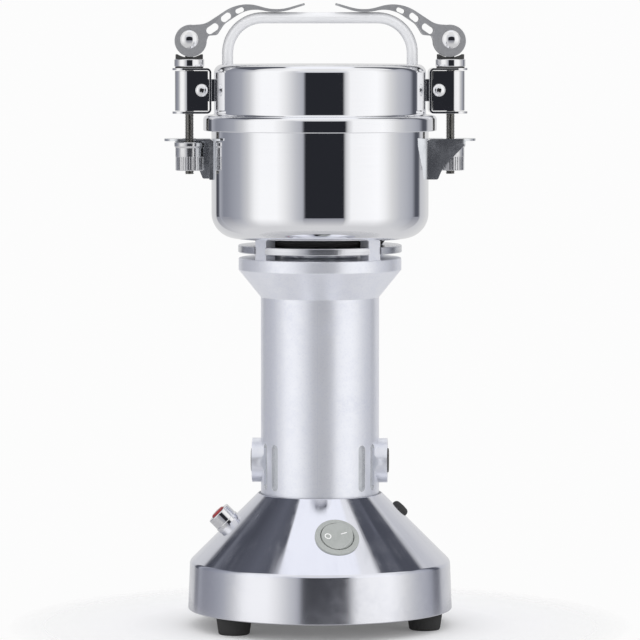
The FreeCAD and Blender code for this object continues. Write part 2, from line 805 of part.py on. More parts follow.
def make_motor():
    turned_part("bearing_bracket", [
        ("bearing_radius", "low_bearing - 2"),
        ("column_bore - 0.1", "low_bearing - 2"),
        ("column_bore - 0.1", "low_bearing + 1"),
        ("bearing_radius + 2.5", "low_bearing + 1", 1.0),
        ("bearing_radius + 2.5", "low_bearing + bearing_depth"),
        ("bearing_radius", "low_bearing + bearing_depth"),
    ])
    for label, low in (("lower_bearing", "low_bearing"), ("upper_bearing", "high_bearing")):
        turned_part(label, [
            ("shaft_radius + running_gap", low),
            ("bearing_radius - 0.02", low),
            ("bearing_radius - 0.02", f"{low} + bearing_depth"),
            ("shaft_radius + running_gap", f"{low} + bearing_depth"),
        ])
    stator = new_body("motor_stator")
    revolve(stator, [
        ("stator_bore", "core_low"),
        ("column_bore - 0.1", "core_low"),
        ("column_bore - 0.1", "core_high"),
        ("stator_bore", "core_high"),
    ])
    finish("motor_stator", stator)
    coils = []
    for name, low in (("low", "core_low - coil_depth"), ("high", "core_high")):
        coil = new_body(f"field_coil_{name}")
        sketch = ring(coil, f"coil_{name}", "XY_Plane", ["17", "25.5"], lift=low)
        pad(coil, sketch, "coil_depth")
        coils.append(coil)
    finish("field_coils", bundle("field_coils", coils))


def make_rotor():
    turned_part("motor_shaft", [
        ("0", "low_bearing - 1"),
        ("shaft_radius", "low_bearing - 1", 0.5),
        ("shaft_radius", "blade_low"),
        ("blade_bore", "blade_low"),
        ("blade_bore", "blade_high + 9"),
        ("0", "blade_high + 9"),
    ])
    core = new_body("armature_core")
    revolve(core, [
        ("shaft_radius", "core_low + 1"),
        ("core_radius", "core_low + 1"),
        ("core_radius", "core_high - 1"),
        ("shaft_radius", "core_high - 1"),
    ])
    slot = outline(core, "winding_slot", "XY_Plane", [
        ("core_radius - 4", -1.2), ("core_radius - 0.8", -1.2), ("core_radius - 0.8", -0.5),
        ("core_radius + 1", -0.5), ("core_radius + 1", 0.5), ("core_radius - 0.8", 0.5),
        ("core_radius - 0.8", 1.2), ("core_radius - 4", 1.2)], lift="core_low")
    pocket(core, slot, "core_high - core_low", backward=True)
    polar(core, core.Tip, int(number("winding_slots")))
    finish("armature_core", core)
    turned_part("commutator", [
        ("shaft_radius", "brush_height - 6"),
        ("9.0", "brush_height - 6", 0.8),
        ("9.0", "brush_height + 8"),
        ("shaft_radius", "brush_height + 8"),
    ])
    fan = new_body("cooling_fan")
    revolve(fan, [
        ("shaft_radius", "fan_low"),
        ("fan_radius", "fan_low"),
        ("fan_radius", "fan_low + 1.6"),
        ("9", "fan_low + 1.6", 1.5),
        ("9", "fan_low + 12"),
        ("shaft_radius", "fan_low + 12"),
    ])
    blade = outline(fan, "fan_blade", "XY_Plane", [
        ("8", -0.7), ("fan_radius - 0.5", -0.7), ("fan_radius - 0.5", 0.7), ("8", 0.7)], lift="fan_low + 1")
    pad(fan, blade, "9")
    polar(fan, fan.Tip, int(number("fan_blades")))
    finish("cooling_fan", fan)


def make_blades():
    """Two crossed cutting bars on the shaft, the lower tips bent down and the upper ones up."""
    for label, low, bend, turn in (
            ("lower_blade", "blade_low", -1, 20.0),
            ("upper_blade", "blade_high", 1, 110.0)):
        body = new_body(label)
        tip = number("blade_tip_bend") * bend
        thick = number("blade_thick")
        side = outline(body, f"{label}_side", "XZ_Plane", [
            ("-blade_reach", tip),
            ("-blade_reach + 9", "0", 6),
            ("blade_reach - 9", "0", 6),
            ("blade_reach", tip),
            ("blade_reach", tip + thick),
            ("blade_reach - 9", "blade_thick", 6),
            ("-blade_reach + 9", "blade_thick", 6),
            ("-blade_reach", tip + thick),
        ])
        pad(body, side, "20", both=True)
        for name, way in (("ahead", 1), ("behind", -1)):
            edge = outline(body, f"{label}_{name}", "XY_Plane", [
                (f"-{way} * (blade_reach + 1)", f"{way} * blade_tip_half"),
                (-10 * way, f"{way} * blade_half", 8),
                (f"{way} * (blade_reach + 1)", f"{way} * blade_half"),
                (f"{way} * (blade_reach + 1)", 12 * way),
                (f"-{way} * (blade_reach + 1)", 12 * way),
            ], lift="-10")
            pocket(body, edge, "24", backward=True)
        bore = ring(body, f"{label}_bore", "XY_Plane", ["blade_bore"], lift="-10")
        pocket(body, bore, "24", backward=True)
        place(body, height=low, turn=turn)
        finish(label, body)
    turned_part("blade_spacer", [
        ("blade_bore", "blade_low + blade_thick"),
        ("7.0", "blade_low + blade_thick"),
        ("7.0", "blade_high"),
        ("blade_bore", "blade_high"),
    ])
    nut = new_body("blade_nut")
    flats = outline(nut, "nut_flats", "XY_Plane",
                    [(6.2 * math.cos(math.radians(60 * i)), 6.2 * math.sin(math.radians(60 * i)))
                     for i in range(6)], lift="blade_high + blade_thick")
    pad(nut, flats, "6")
    revolve(nut, [
        ("0", "blade_high + blade_thick + 4"),
        ("5.0", "blade_high + blade_thick + 4"),
        ("5.0", "blade_high + blade_thick + 10", 4.5),
        ("0", "blade_high + blade_thick + 10.4"),
    ], name="dome")
    bore = ring(nut, "nut_bore", "XY_Plane", ["blade_bore"], lift="blade_high + blade_thick")
    pocket(nut, bore, "7.5", backward=True)
    finish("blade_nut", nut)


# Bowl

def make_bowl():
    body = new_body("bowl")
    revolve(body, [
        ("shaft_radius + 5", "bowl_low"),
        ("bowl_radius", "bowl_low", "bowl_corner"),
        ("bowl_radius", "bowl_rim", 0.6),
        ("bowl_radius - bowl_wall", "bowl_rim", 0.6),
        ("bowl_radius - bowl_wall", "bowl_low + bowl_wall", "bowl_corner - bowl_wall"),
        ("shaft_radius + 5", "bowl_low + bowl_wall"),
    ])
    hole = ring(body, "bowl_screw_hole", "XY_Plane", ["screw_hole"], ("bowl_screw_circle", "0"),
                lift="bowl_low", turn=45.0)
    pocket(body, hole, "bowl_wall", backward=True)
    polar(body, body.Tip, 4)
    place(body, turn="tower_turn")
    finish("bowl", body)
    turned_part("bowl_gasket", [
        ("shaft_radius + 5", "hub_top"),
        ("gasket_radius", "hub_top"),
        ("gasket_radius", "bowl_low"),
        ("shaft_radius + 5", "bowl_low"),
    ])
    turned_part("shaft_seal", [
        ("shaft_radius + running_gap", "hub_top + 0.2"),
        ("shaft_radius + 4.8", "hub_top + 0.2"),
        ("shaft_radius + 4.8", "bowl_low + bowl_wall"),
        ("shaft_radius + 7", "bowl_low + bowl_wall"),
        ("shaft_radius + 6", "bowl_low + 5", 1.0),
        ("shaft_radius + running_gap", "bowl_low + 5"),
    ])
    group = []
    for step in range(4):
        body = new_body(f"bowl_screw_{step + 1}")
        revolve(body, [
            ("0", "-8"),
            ("screw_shank", "-8"),
            ("screw_shank", "0"),
            ("bowl_screw_head", "0"),
            ("bowl_screw_head", "1.8", 1.0),
            ("0", "2.0"),
        ])
        place(body, "bowl_screw_circle", "bowl_low + bowl_wall", f"tower_turn + {45 + 90 * step}")
        group.append(body)
    finish("bowl_screws", bundle("bowl_screws", group))


def make_catches():
    """Angle catches welded to the bowl, each with one corner web and a slot open to one side."""
    for side, turn in SIDES:
        body = new_body(f"catch_{side}")
        angle = outline(body, f"catch_angle_{side}", "XZ_Plane", [
            ("bowl_radius - 0.9", "catch_low"),
            ("bowl_radius + catch_wall", "catch_low"),
            ("bowl_radius + catch_wall", "catch_top - catch_wall", 1.2),
            ("catch_tip", "catch_top - catch_wall"),
            ("catch_tip", "catch_top"),
            ("bowl_radius - 0.9", "catch_top", 2.4),
        ])
        pad(body, angle, "catch_half * 2", both=True)
        web = outline(body, f"catch_web_{side}", "XZ_Plane", [
            ("bowl_radius + 0.4", "catch_low", 0.5),
            ("bowl_radius + 4.6", "catch_low", 1.2),
            ("bowl_radius + 7.2", "catch_low + 6.5", 20),
            ("bowl_radius + 18.0", "catch_top - 4.4", 0.7),
            ("bowl_radius + 20.2", "catch_top - 0.6"),
            ("bowl_radius + 2.4", "catch_top - 0.6"),
            ("bowl_radius + 0.4", "catch_top - 3.0"),
        ], lift="catch_half - catch_wall")
        pad(body, web, "catch_wall")
        tip = outline(body, f"catch_tip_{side}", "XY_Plane", [
            ("catch_tip - 10", "-catch_half - 1"),
            ("catch_tip - 9", "-catch_half"),
            ("catch_tip", "-catch_half", 8.5),
            ("catch_tip", "catch_half", 8.5),
            ("catch_tip - 9", "catch_half"),
            ("catch_tip - 10", "catch_half + 1"),
            ("catch_tip + 3", "catch_half + 1"),
            ("catch_tip + 3", "-catch_half - 1"),
        ], lift="catch_top - 3")
        pocket(body, tip, "6", backward=True)
        slot = outline(body, f"catch_slot_{side}", "XY_Plane", [
            ("rod_reach - catch_slot", "-catch_slot", "catch_slot - 0.1"),
            ("rod_reach + catch_slot", "-catch_slot", "catch_slot - 0.1"),
            ("rod_reach + catch_slot", "catch_half + 2"),
            ("rod_reach - catch_slot", "catch_half + 2"),
        ], lift="catch_top - 3")
        pocket(body, slot, "6", backward=True)
        weld = ring(body, f"catch_weld_{side}", "XY_Plane", ["bowl_radius"], lift="catch_low - 1")
        pocket(body, weld, "30", backward=True)
        place(body, turn=turn)
        finish(f"catch_{side}", body)


# Lid

def make_lid():
    body = new_body("lid_shell")
    revolve(body, [
        ("0", "lid_top"),
        ("cap_wall_radius", "lid_top", 4.5),
        ("cap_wall_radius", "skirt_top", 1.2),
        ("skirt_radius", "skirt_top", 2.4),
        ("skirt_radius", "skirt_low", 0.5),
        ("skirt_bore", "skirt_low", 0.4),
        ("skirt_bore", "skirt_top - 1.4", 1.2),
        ("cap_wall_radius - lid_wall", "skirt_top - 1.4"),
        ("cap_wall_radius - lid_wall", "lid_top - lid_wall", "4.5 - lid_wall"),
        ("0", "lid_top - lid_wall"),
    ])
    for name, sign in (("left", "-"), ("right", "")):
        hole = ring(body, f"handle_hole_{name}", "XY_Plane", ["2.1"], (f"{sign}(handle_reach)", "0"),
                    lift="lid_top - lid_wall")
        pocket(body, hole, "lid_wall", backward=True)
    finish("lid_shell", body)
    turned_part("lid_seal", [
        ("cap_wall_radius - lid_wall + 0.1", "seal_low"),
        ("bowl_radius + 0.3", "seal_low"),
        ("bowl_radius + 0.3", "skirt_top - 1.4"),
        ("cap_wall_radius - lid_wall + 0.1", "skirt_top - 1.4"),
    ])


def make_handle():
    body = new_body("lid_handle")
    path = outline(body, "handle_path", "XZ_Plane", [
        ("-handle_reach", "lid_top"),
        ("-handle_reach", "handle_bar", "handle_bend"),
        ("handle_reach", "handle_bar", "handle_bend"),
        ("handle_reach", "lid_top"),
    ], closed=False)
    section = ring(body, "handle_section", "XY_Plane", ["handle_rod"], ("-handle_reach", "0"),
                   lift="lid_top")
    pipe = body.newObject("PartDesign::AdditivePipe", "handle_bow")
    pipe.Profile = section
    pipe.Spine = (path, [f"Edge{i + 1}" for i in range(len(path.Shape.Edges))])
    doc.recompute()
    for name, sign in (("left", "-"), ("right", "")):
        bore = ring(body, f"handle_bore_{name}", "XY_Plane", ["1.95"], (f"{sign}(handle_reach)", "0"),
                    lift="lid_top")
        pocket(body, bore, "9", backward=True)
    finish("lid_handle", body)
    screw_set("handle_screws",
              [("handle_reach", "lid_top - lid_wall", str(turn)) for _, turn in SIDES],
              head_radius="2.8", head_depth="1.4", shank_radius="1.9", length="9")


def make_brackets():
    """Channel, strap, cup and saddle that carry each clamp on the lid."""
    strap_screws = []
    for side, turn in SIDES:
        channel = new_body(f"channel_{side}")
        profile = outline(channel, f"channel_profile_{side}", "XZ_Plane", [
            ("bracket_outer", "bracket_top"),
            ("bracket_inner", "bracket_top", 2.4),
            ("bracket_inner", "bracket_low", 2.4),
            ("bracket_outer", "bracket_low"),
            ("bracket_outer", "bracket_low + bracket_wall"),
            ("bracket_inner + bracket_wall", "bracket_low + bracket_wall", 1.25),
            ("bracket_inner + bracket_wall", "bracket_top - bracket_wall", 1.25),
            ("bracket_outer", "bracket_top - bracket_wall"),
        ])
        pad(channel, profile, "bracket_half * 2", both=True)
        lug = outline(channel, f"channel_lug_{side}", "YZ_Plane", [
            ("-strap_radius + strap_wall + 0.1", "strap_screw_z - 6"),
            ("strap_radius - strap_wall - 0.1", "strap_screw_z - 6"),
            ("strap_radius - strap_wall - 0.1", "strap_screw_z + 6"),
            ("-strap_radius + strap_wall + 0.1", "strap_screw_z + 6"),
        ], lift="cap_wall_radius - 1.5")
        pad(channel, lug, "rod_reach - 3.2 - cap_wall_radius + 1.5")
        seat = ring(channel, f"channel_seat_{side}", "XY_Plane", ["cap_wall_radius"], lift="bracket_low - 1")
        pocket(channel, seat, "30", backward=True)
        hole = ring(channel, f"channel_hole_{side}", "XY_Plane", ["rod_radius + 0.4"], ("rod_reach", "0"),
                    lift="bracket_low - 1")
        pocket(channel, hole, "30", backward=True)
        corner = outline(channel, f"channel_corner_{side}", "XY_Plane", [
            ("bracket_outer - 8", "-bracket_half - 1"),
            ("bracket_outer - 7", "-bracket_half"),
            ("bracket_outer", "-bracket_half", 6.5),
            ("bracket_outer", "bracket_half", 6.5),
            ("bracket_outer - 7", "bracket_half"),
            ("bracket_outer - 8", "bracket_half + 1"),
            ("bracket_outer + 3", "bracket_half + 1"),
            ("bracket_outer + 3", "-bracket_half - 1"),
        ], lift="bracket_low - 1")
        pocket(channel, corner, "30", backward=True)
        bolt_hole = ring(channel, f"lug_hole_{side}", "XZ_Plane", ["strap_screw_bore"],
                         ("strap_screw_x", "strap_screw_z"))
        pocket(channel, bolt_hole, "30", both=True)
        place(channel, turn=turn)
        finish(f"channel_{side}", channel)

        strap = new_body(f"strap_{side}")
        shape = outline(strap, f"strap_plan_{side}", "XY_Plane", [
            ("bracket_inner + bracket_wall + 0.7", "-strap_radius"),
            ("rod_reach + strap_radius", "-strap_radius", "strap_radius - 0.05"),
            ("rod_reach + strap_radius", "strap_radius", "strap_radius - 0.05"),
            ("bracket_inner + bracket_wall + 0.7", "strap_radius"),
            ("bracket_inner + bracket_wall + 0.7", "strap_radius - strap_wall"),
            ("rod_reach + strap_radius - strap_wall", "strap_radius - strap_wall",
             "strap_radius - strap_wall - 0.05"),
            ("rod_reach + strap_radius - strap_wall", "-strap_radius + strap_wall",
             "strap_radius - strap_wall - 0.05"),
            ("bracket_inner + bracket_wall + 0.7", "-strap_radius + strap_wall"),
        ], lift="strap_low")
        pad(strap, shape, "strap_top - strap_low")
        bore = ring(strap, f"strap_bore_{side}", "XZ_Plane", ["strap_screw_bore"],
                    ("strap_screw_x", "strap_screw_z"))
        pocket(strap, bore, "30", both=True)
        place(strap, turn=turn)
        finish(f"strap_{side}", strap)

        bolt = screw(f"strap_screw_{side}", "3.4", "1.8", "strap_screw_bore - 0.05", "strap_radius * 2")
        nut = ring(bolt, f"strap_nut_{side}", "XY_Plane", ["3.0"], lift="strap_radius * 2")
        pad(bolt, nut, "2.2")
        facing = Rotation(Vector(0, 0, 1), Vector(0, 1, 0))
        sign = 1 if turn == RIGHT else -1
        bolt.Placement = Placement(
            Vector(sign * number("strap_screw_x"), -number("strap_radius"), number("strap_screw_z")), facing)
        strap_screws.append(bolt)

        cup = new_body(f"saddle_cup_{side}")
        revolve(cup, [
            ("rod_radius + 0.4", "bracket_top"),
            ("cup_radius", "bracket_top", 0.5),
            ("cup_radius", "cup_top", 0.5),
            ("saddle_radius + 0.05", "cup_top"),
            ("saddle_radius + 0.05", "cup_top - 3.2"),
            ("rod_radius + 0.4", "cup_top - 3.2"),
        ])
        place(cup, "rod_reach", turn=turn)
        finish(f"saddle_cup_{side}", cup)

        saddle = new_body(f"saddle_{side}")
        revolve(saddle, [
            ("rod_radius + 0.4", "cup_top - 3.2"),
            ("saddle_radius", "cup_top - 3.2"),
            ("saddle_radius", "saddle_top", 0.3),
            ("rod_radius + 0.4", "saddle_top"),
        ])
        cradle = ring(saddle, f"saddle_cradle_{side}", "XZ_Plane", ["cradle_radius"],
                      ("0", "cradle_low + cradle_radius"))
        pocket(saddle, cradle, "30", both=True)
        place(saddle, "rod_reach", turn=turn)
        finish(f"saddle_{side}", saddle)
    finish("strap_screws", bundle("strap_screws", strap_screws))


# Clamps

# Arm of the cam lever seen from the side, from its pin towards the middle of the lid
ARM_OUTLINE = [
    (1.5, 7.75),
    (8.6, 8.2, 12),
    (27.5, 20.7, 22),
    (47.0, 15.2, 26),
    (61.9, 19.5),
    (62.3, 18.4, 0.4),
    (47.5, 13.8, 26),
    (32.2, 17.1, 18),
    (18.9, 8.2, 8),
    (15.1, 2.3, 2.2),
    (10.3, 1.9, 1.2),
    (8.6, -3.0),
    (1.5, -3.0),
]
ARM_HOLES = [(12.5, 5.7, 7.2, 3.9, 35.0), (19.8, 11.8, 6.0, 3.6, 38.0), (27.2, 15.5, 4.8, 2.6, 22.0)]


def make_levers():
    for side, turn in SIDES:
        body = new_body(f"lever_{side}")
        arm = outline(body, f"lever_arm_{side}", "XZ_Plane",
                      [(-corner[0], corner[1], *corner[2:]) for corner in ARM_OUTLINE])
        pad(body, arm, "lever_half * 2", both=True)
        cam = ring(body, f"lever_cam_{side}", "XZ_Plane", ["cam_radius"], ("-cam_shift", "-cam_shift"))
        pad(body, cam, "lever_half * 2", both=True)
        bore = ring(body, f"lever_bore_{side}", "XZ_Plane", ["pin_radius + running_gap"])
        pocket(body, bore, "40", both=True)
        for index, (across, up, length, width, tilt) in enumerate(ARM_HOLES):
            hole = obround(body, f"lever_hole_{side}_{index}", "XZ_Plane", (-across, up), length, width,
                           tilt=180.0 - tilt)
            pocket(body, hole, "40", both=True)
        slot = outline(body, f"lever_slot_{side}", "XY_Plane", [
            ("-9.7", "-lever_slot", 1.5), ("12", "-lever_slot"),
            ("12", "lever_slot"), ("-9.7", "lever_slot", 1.5)], lift="-12")
        pocket(body, slot, "24", backward=True)
        for name, way in (("front", -1), ("back", 1)):
            taper = outline(body, f"lever_taper_{name}_{side}", "XY_Plane", [
                ("-8", f"{way} * (lever_half + 1)"),
                ("-24", f"{way} * (lever_half - 2)", 20),
                ("-54", f"{way} * (lever_half - 2)", 14),
                ("-61", f"{way} * (lever_half - 3)", 3),
                ("-63", f"{way} * 1.5"),
                ("-70", f"{way} * 1.5"),
                ("-70", f"{way} * (lever_half + 5)"),
                ("-8", f"{way} * (lever_half + 5)"),
            ], lift="-4")
            pocket(body, taper, "30", backward=True)
        place(body, "rod_reach", "pin_height", turn)
        finish(f"lever_{side}", body)


def make_rods():
    for side, turn in SIDES:
        rod = new_body(f"rod_{side}")
        revolve(rod, [
            ("0", "rod_low - pin_height"),
            ("rod_radius", "rod_low - pin_height", 0.5),
            ("rod_radius", "3.5"),
            ("0", "3.5"),
        ])
        place(rod, "rod_reach", "pin_height", turn)
        finish(f"rod_{side}", rod)

        pin = new_body(f"pin_{side}")
        revolve(pin, [
            ("0", "-pin_half - 1.5"),
            ("pin_radius * 0.6", "-pin_half - 1.2", "pin_radius"),
            ("pin_radius", "-pin_half + 0.5"),
            ("pin_radius", "pin_half - 0.5"),
            ("pin_radius * 0.6", "pin_half + 1.2", "pin_radius"),
            ("0", "pin_half + 1.5"),
        ])
        drum(pin, "Subtractive", f"pin_cross_{side}", "rod_radius + 0.02", "20",
             (-16.5, 0, 0), Rotation(Vector(0, 0, 1), Vector(1, 0, 0)))
        place(pin, "rod_reach", "pin_height", turn)
        lying = Rotation(Vector(0, 0, 1), Vector(1, 0, 0), Vector(0, 1, 0), "ZXY")
        pin.Placement = Placement(pin.Placement.Base, Rotation(Vector(0, 0, 1), turn) * lying)
        finish(f"pin_{side}", pin)

        nut = new_body(f"nut_{side}")
        revolve(nut, [
            ("rod_radius + running_gap", "nut_low"),
            ("nut_radius", "nut_low", 0.5),
            ("nut_radius", "nut_top - 3.2"),
            ("nut_rim", "nut_top - 2.2"),
            ("nut_rim", "nut_top", 0.6),
            ("rod_radius + running_gap", "nut_top"),
        ])
        groove = outline(nut, f"knurl_{side}", "XY_Plane", [
            ("nut_radius - knurl_depth", "0"),
            ("nut_radius + 0.3", "-knurl_half"),
            ("nut_radius + 0.3", "knurl_half"),
        ], lift="nut_low - 0.1")
        pocket(nut, groove, "knurl_length", backward=True)
        polar(nut, nut.Tip, int(number("knurl_count")))
        place(nut, "rod_reach", turn=turn)
        finish(f"nut_{side}", nut)


def check_document():
    """Stop where a feature failed or a sub-part is not a sound shape."""
    doc.recompute()
    for thing in doc.Objects:
        if "Invalid" in thing.State or "Error" in thing.State:
            raise RuntimeError(f"{thing.Name}: {thing.State}")
    for part in PARTS:
        if part.Shape.isNull() or not part.Shape.isValid():
            raise RuntimeError(f"{part.Label} has no sound shape")


def write_parts():
    os.makedirs("parts", exist_ok=True)
    for part in PARTS:
        part.Shape.exportStep(f"parts/{part.Label}.step")
        print(f"{part.Label:20s} {part.Shape.Volume / 1000:8.2f} cm3  solids {len(part.Shape.Solids)}")


make_base()
make_base_plate()
make_feet()
make_base_screws()
make_switch()
make_pulse_button()
make_reset_button()
make_gland()
make_tower()
make_deflector()
make_brushes()
make_motor()
make_rotor()
make_blades()
make_bowl()
make_catches()
make_lid()
make_handle()
make_brackets()
make_levers()
make_rods()
check_document()
write_parts()
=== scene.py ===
"""Electric grain mill: its visible pieces, their finishes and a plain light studio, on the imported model."""

import functools
import json
import logging
import math
from dataclasses import dataclass, field
from enum import Enum
from typing import Callable, Iterable, Mapping, Optional, Sequence

import bmesh
import bpy
from mathutils import Matrix, Vector


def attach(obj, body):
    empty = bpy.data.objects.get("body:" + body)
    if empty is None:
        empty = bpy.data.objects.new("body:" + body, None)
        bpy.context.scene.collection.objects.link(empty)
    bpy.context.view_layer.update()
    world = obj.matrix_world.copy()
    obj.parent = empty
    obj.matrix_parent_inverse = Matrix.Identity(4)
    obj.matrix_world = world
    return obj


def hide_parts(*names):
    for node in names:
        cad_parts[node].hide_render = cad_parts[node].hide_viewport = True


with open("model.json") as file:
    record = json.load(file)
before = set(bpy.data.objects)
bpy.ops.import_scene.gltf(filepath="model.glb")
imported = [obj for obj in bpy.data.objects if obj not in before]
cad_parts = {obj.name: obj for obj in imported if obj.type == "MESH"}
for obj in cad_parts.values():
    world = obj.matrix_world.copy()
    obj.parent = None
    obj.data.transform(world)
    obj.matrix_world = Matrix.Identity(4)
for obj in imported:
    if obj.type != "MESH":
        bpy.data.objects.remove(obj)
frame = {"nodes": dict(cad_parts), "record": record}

LOG = logging.getLogger("grain_mill")
MM = 0.001
FULL_TURN = 2 * math.pi
MERGE = 2e-6

COAT_ROUGHNESS = 0.08
PIT_HEIGHT, PIT_SHADE = -0.7, 0.5
SEAM_HEIGHT, SEAM_SHADE = 1.5, 0.6
SEAM_LOW, SEAM_HIGH, SEAM_FADE = 0.076, 0.176, 0.002
CONE_MIDDLE = 0.05

Corner = tuple[float, ...]
Colour = tuple[float, float, float]
Band = tuple[float, float]
Tree = bpy.types.NodeTree
Node = bpy.types.Node
Socket = bpy.types.NodeSocket
Piece = bpy.types.Object
Mesh = bmesh.types.BMesh
Edge = bmesh.types.BMEdge
Sockets = Mapping[str, Socket]
Values = Mapping[object, object]
Wiring = Callable[[Tree, Sockets], tuple[Socket, ...]]
GroupMaker = Callable[[], Tree]


class Side(Enum):
    """The two clamps, by where they stand on the X axis."""

    LEFT = "left"
    RIGHT = "right"

    @property
    def way(self) -> int:
        """Sign of the side along X."""
        return 1 if self is Side.RIGHT else -1

    @property
    def turned(self) -> Matrix:
        """Turn that brings a piece made for the right to this side."""
        return Matrix.Rotation(0.0 if self is Side.RIGHT else math.pi, 4, "Z")


class Grain(Enum):
    """How a finish is patterned: the stretch of its grain along X, Y and Z."""

    RINGS = (1.0, 1.0, 60.0)
    CAST = (1.0, 1.0, 1.0)
    BRUSHED = (2.0, 40.0, 40.0)
    LAYERS = (0.2, 0.2, 90.0)
    SLOPE = (26.0, 2.0, 1.0)


# Shared effects


class NodeKit:
    """Ways to add, feed and join shader nodes."""

    MIX_SHARE, MIX_FIRST, MIX_SECOND, MIX_RESULT = 0, 6, 7, 2

    @staticmethod
    def feed(tree: Tree, node: Node, values: Values) -> None:
        """Set or link a node's inputs.

        Args:
            tree: tree that holds the node.
            node: node that is fed.
            values: number, colour or socket for each input, by the input's name or place.
        """
        for label, value in values.items():
            if isinstance(value, Socket):
                tree.links.new(value, node.inputs[label])
            else:
                node.inputs[label].default_value = value

    @classmethod
    def add(cls, tree: Tree, kind: str, values: Values, **settings: object) -> Node:
        """Add a shader node, set it up and feed it.

        Args:
            tree: tree that gets the node.
            kind: type of the node, without its first word.
            values: number, colour or socket for each input, by the input's name or place.
            settings: the node's other properties.

        Returns:
            The new node.
        """
        node = tree.nodes.new(f"ShaderNode{kind}")
        for name, value in settings.items():
            setattr(node, name, value)
        cls.feed(tree, node, values)
        return node

    @classmethod
    def maths(cls, tree: Tree, operation: str, first: object, second: object = 0.0) -> Socket:
        """Work out a number from one or two others.

        Args:
            tree: tree that gets the node.
            operation: name of the operation.
            first: number or socket for the first input.
            second: number or socket for the second input.

        Returns:
            The result's socket.
        """
        return cls.add(tree, "Math", {0: first, 1: second}, operation=operation).outputs[0]

    @classmethod
    def span(cls, tree: Tree, value: Socket, low: float, high: float, to_low: float = 0.0,
             to_high: float = 1.0) -> Socket:
        """Map a value from one range to another, held at its ends.

        Args:
            tree: tree that gets the node.
            value: socket to map.
            low: value that gives to_low.
            high: value that gives to_high.
            to_low: result at the low end.
            to_high: result at the high end.

        Returns:
            The result's socket.
        """
        ends = {"Value": value, "From Min": low, "From Max": high, "To Min": to_low, "To Max": to_high}
        return cls.add(tree, "MapRange", ends, clamp=True).outputs["Result"]

    @classmethod
    def mix(cls, tree: Tree, share: Socket, first: object, second: object, blend: str = "MIX") -> Socket:
        """Mix two colours by a mask.

        Args:
            tree: tree that gets the node.
            share: mask.
            first: colour or socket where the mask is 0.
            second: colour or socket where the mask is 1.
            blend: how the second colour is laid on the first.

        Returns:
            The mixed colour's socket.
        """
        values = {cls.MIX_SHARE: share, cls.MIX_FIRST: first, cls.MIX_SECOND: second}
        return cls.add(tree, "Mix", values, data_type="RGBA", blend_type=blend).outputs[cls.MIX_RESULT]


def shared_group(numbers: Mapping[str, float], results: Sequence[str]) -> Callable[[Wiring], GroupMaker]:
    """Turn a function that wires nodes into one that gives their group, built on its first use.

    Args:
        numbers: name and usual value of each number that the group takes beside its coordinate.
        results: names of what the group gives.

    Returns:
        The decorator.
    """
    def decorate(wire: Wiring) -> GroupMaker:
        """Put the group's maker in the place of its wiring."""
        @functools.wraps(wire)
        def group() -> Tree:
            """Find the group, or build it."""
            tree = bpy.data.node_groups.get(wire.__name__)
            if tree:
                return tree
            tree = bpy.data.node_groups.new(wire.__name__, "ShaderNodeTree")
            kinds = {"Vector": "NodeSocketVector"}
            for label in ("Vector", *numbers):
                socket = tree.interface.new_socket(name=label, in_out="INPUT",
                                                   socket_type=kinds.get(label, "NodeSocketFloat"))
                if label in numbers:
                    socket.default_value = numbers[label]
            for label in results:
                tree.interface.new_socket(name=label, in_out="OUTPUT",
                                          socket_type=kinds.get(label, "NodeSocketFloat"))
            given = tree.nodes.new("NodeGroupInput")
            out = tree.nodes.new("NodeGroupOutput")
            NodeKit.feed(tree, out, dict(zip(results, wire(tree, given.outputs))))
            return tree
        return group
    return decorate


@shared_group({"Scale": 400.0}, ("Height", "Mask"))
def surface_grain(tree: Tree, given: Sockets) -> tuple[Socket, ...]:
    """Fine height and mask that follow a stretched coordinate."""
    place, scale = given["Vector"], given["Scale"]
    fine = NodeKit.add(tree, "TexNoise", {"Vector": place, "Scale": scale, "Detail": 3.0, "Roughness": 0.6})
    wider = NodeKit.maths(tree, "MULTIPLY", scale, 0.23)
    coarse = NodeKit.add(tree, "TexNoise", {"Vector": place, "Scale": wider, "Detail": 2.0})
    both = NodeKit.maths(tree, "MULTIPLY", fine.outputs["Fac"], coarse.outputs["Fac"])
    return fine.outputs["Fac"], NodeKit.span(tree, both, 0.12, 0.42)


@shared_group({}, ("Vector",))
def unrolled_coordinate(tree: Tree, given: Sockets) -> tuple[Socket, ...]:
    """Coordinate that runs round the vertical axis and up it, so that a grain follows a cone's slope."""
    parts = NodeKit.add(tree, "SeparateXYZ", {0: given["Vector"]}).outputs
    toward = NodeKit.maths(tree, "MULTIPLY", parts["Y"], -1.0)
    arc = NodeKit.maths(tree, "MULTIPLY", NodeKit.maths(tree, "ARCTAN2", parts["X"], toward), CONE_MIDDLE)
    return (NodeKit.add(tree, "CombineXYZ", {"X": arc, "Y": parts["Z"]}).outputs[0],)


@shared_group({"Scale": 30.0}, ("Mask",))
def soft_patches(tree: Tree, given: Sockets) -> tuple[Socket, ...]:
    """Broad soft patches, as handling and polishing leave them."""
    noise = NodeKit.add(tree, "TexNoise", {"Vector": given["Vector"], "Scale": given["Scale"], "Detail": 4.0,
                                           "Distortion": 0.6})
    return (NodeKit.span(tree, noise.outputs["Fac"], 0.36, 0.68),)


@shared_group({"Scale": 900.0}, ("Pits",))
def blast_speckle(tree: Tree, given: Sockets) -> tuple[Socket, ...]:
    """Separate small pits, as blasting leaves in a casting."""
    cells = NodeKit.add(tree, "TexVoronoi", {"Vector": given["Vector"], "Scale": given["Scale"]})
    return (NodeKit.span(tree, cells.outputs["Distance"], 0.08, 0.42, 1.0, 0.0),)


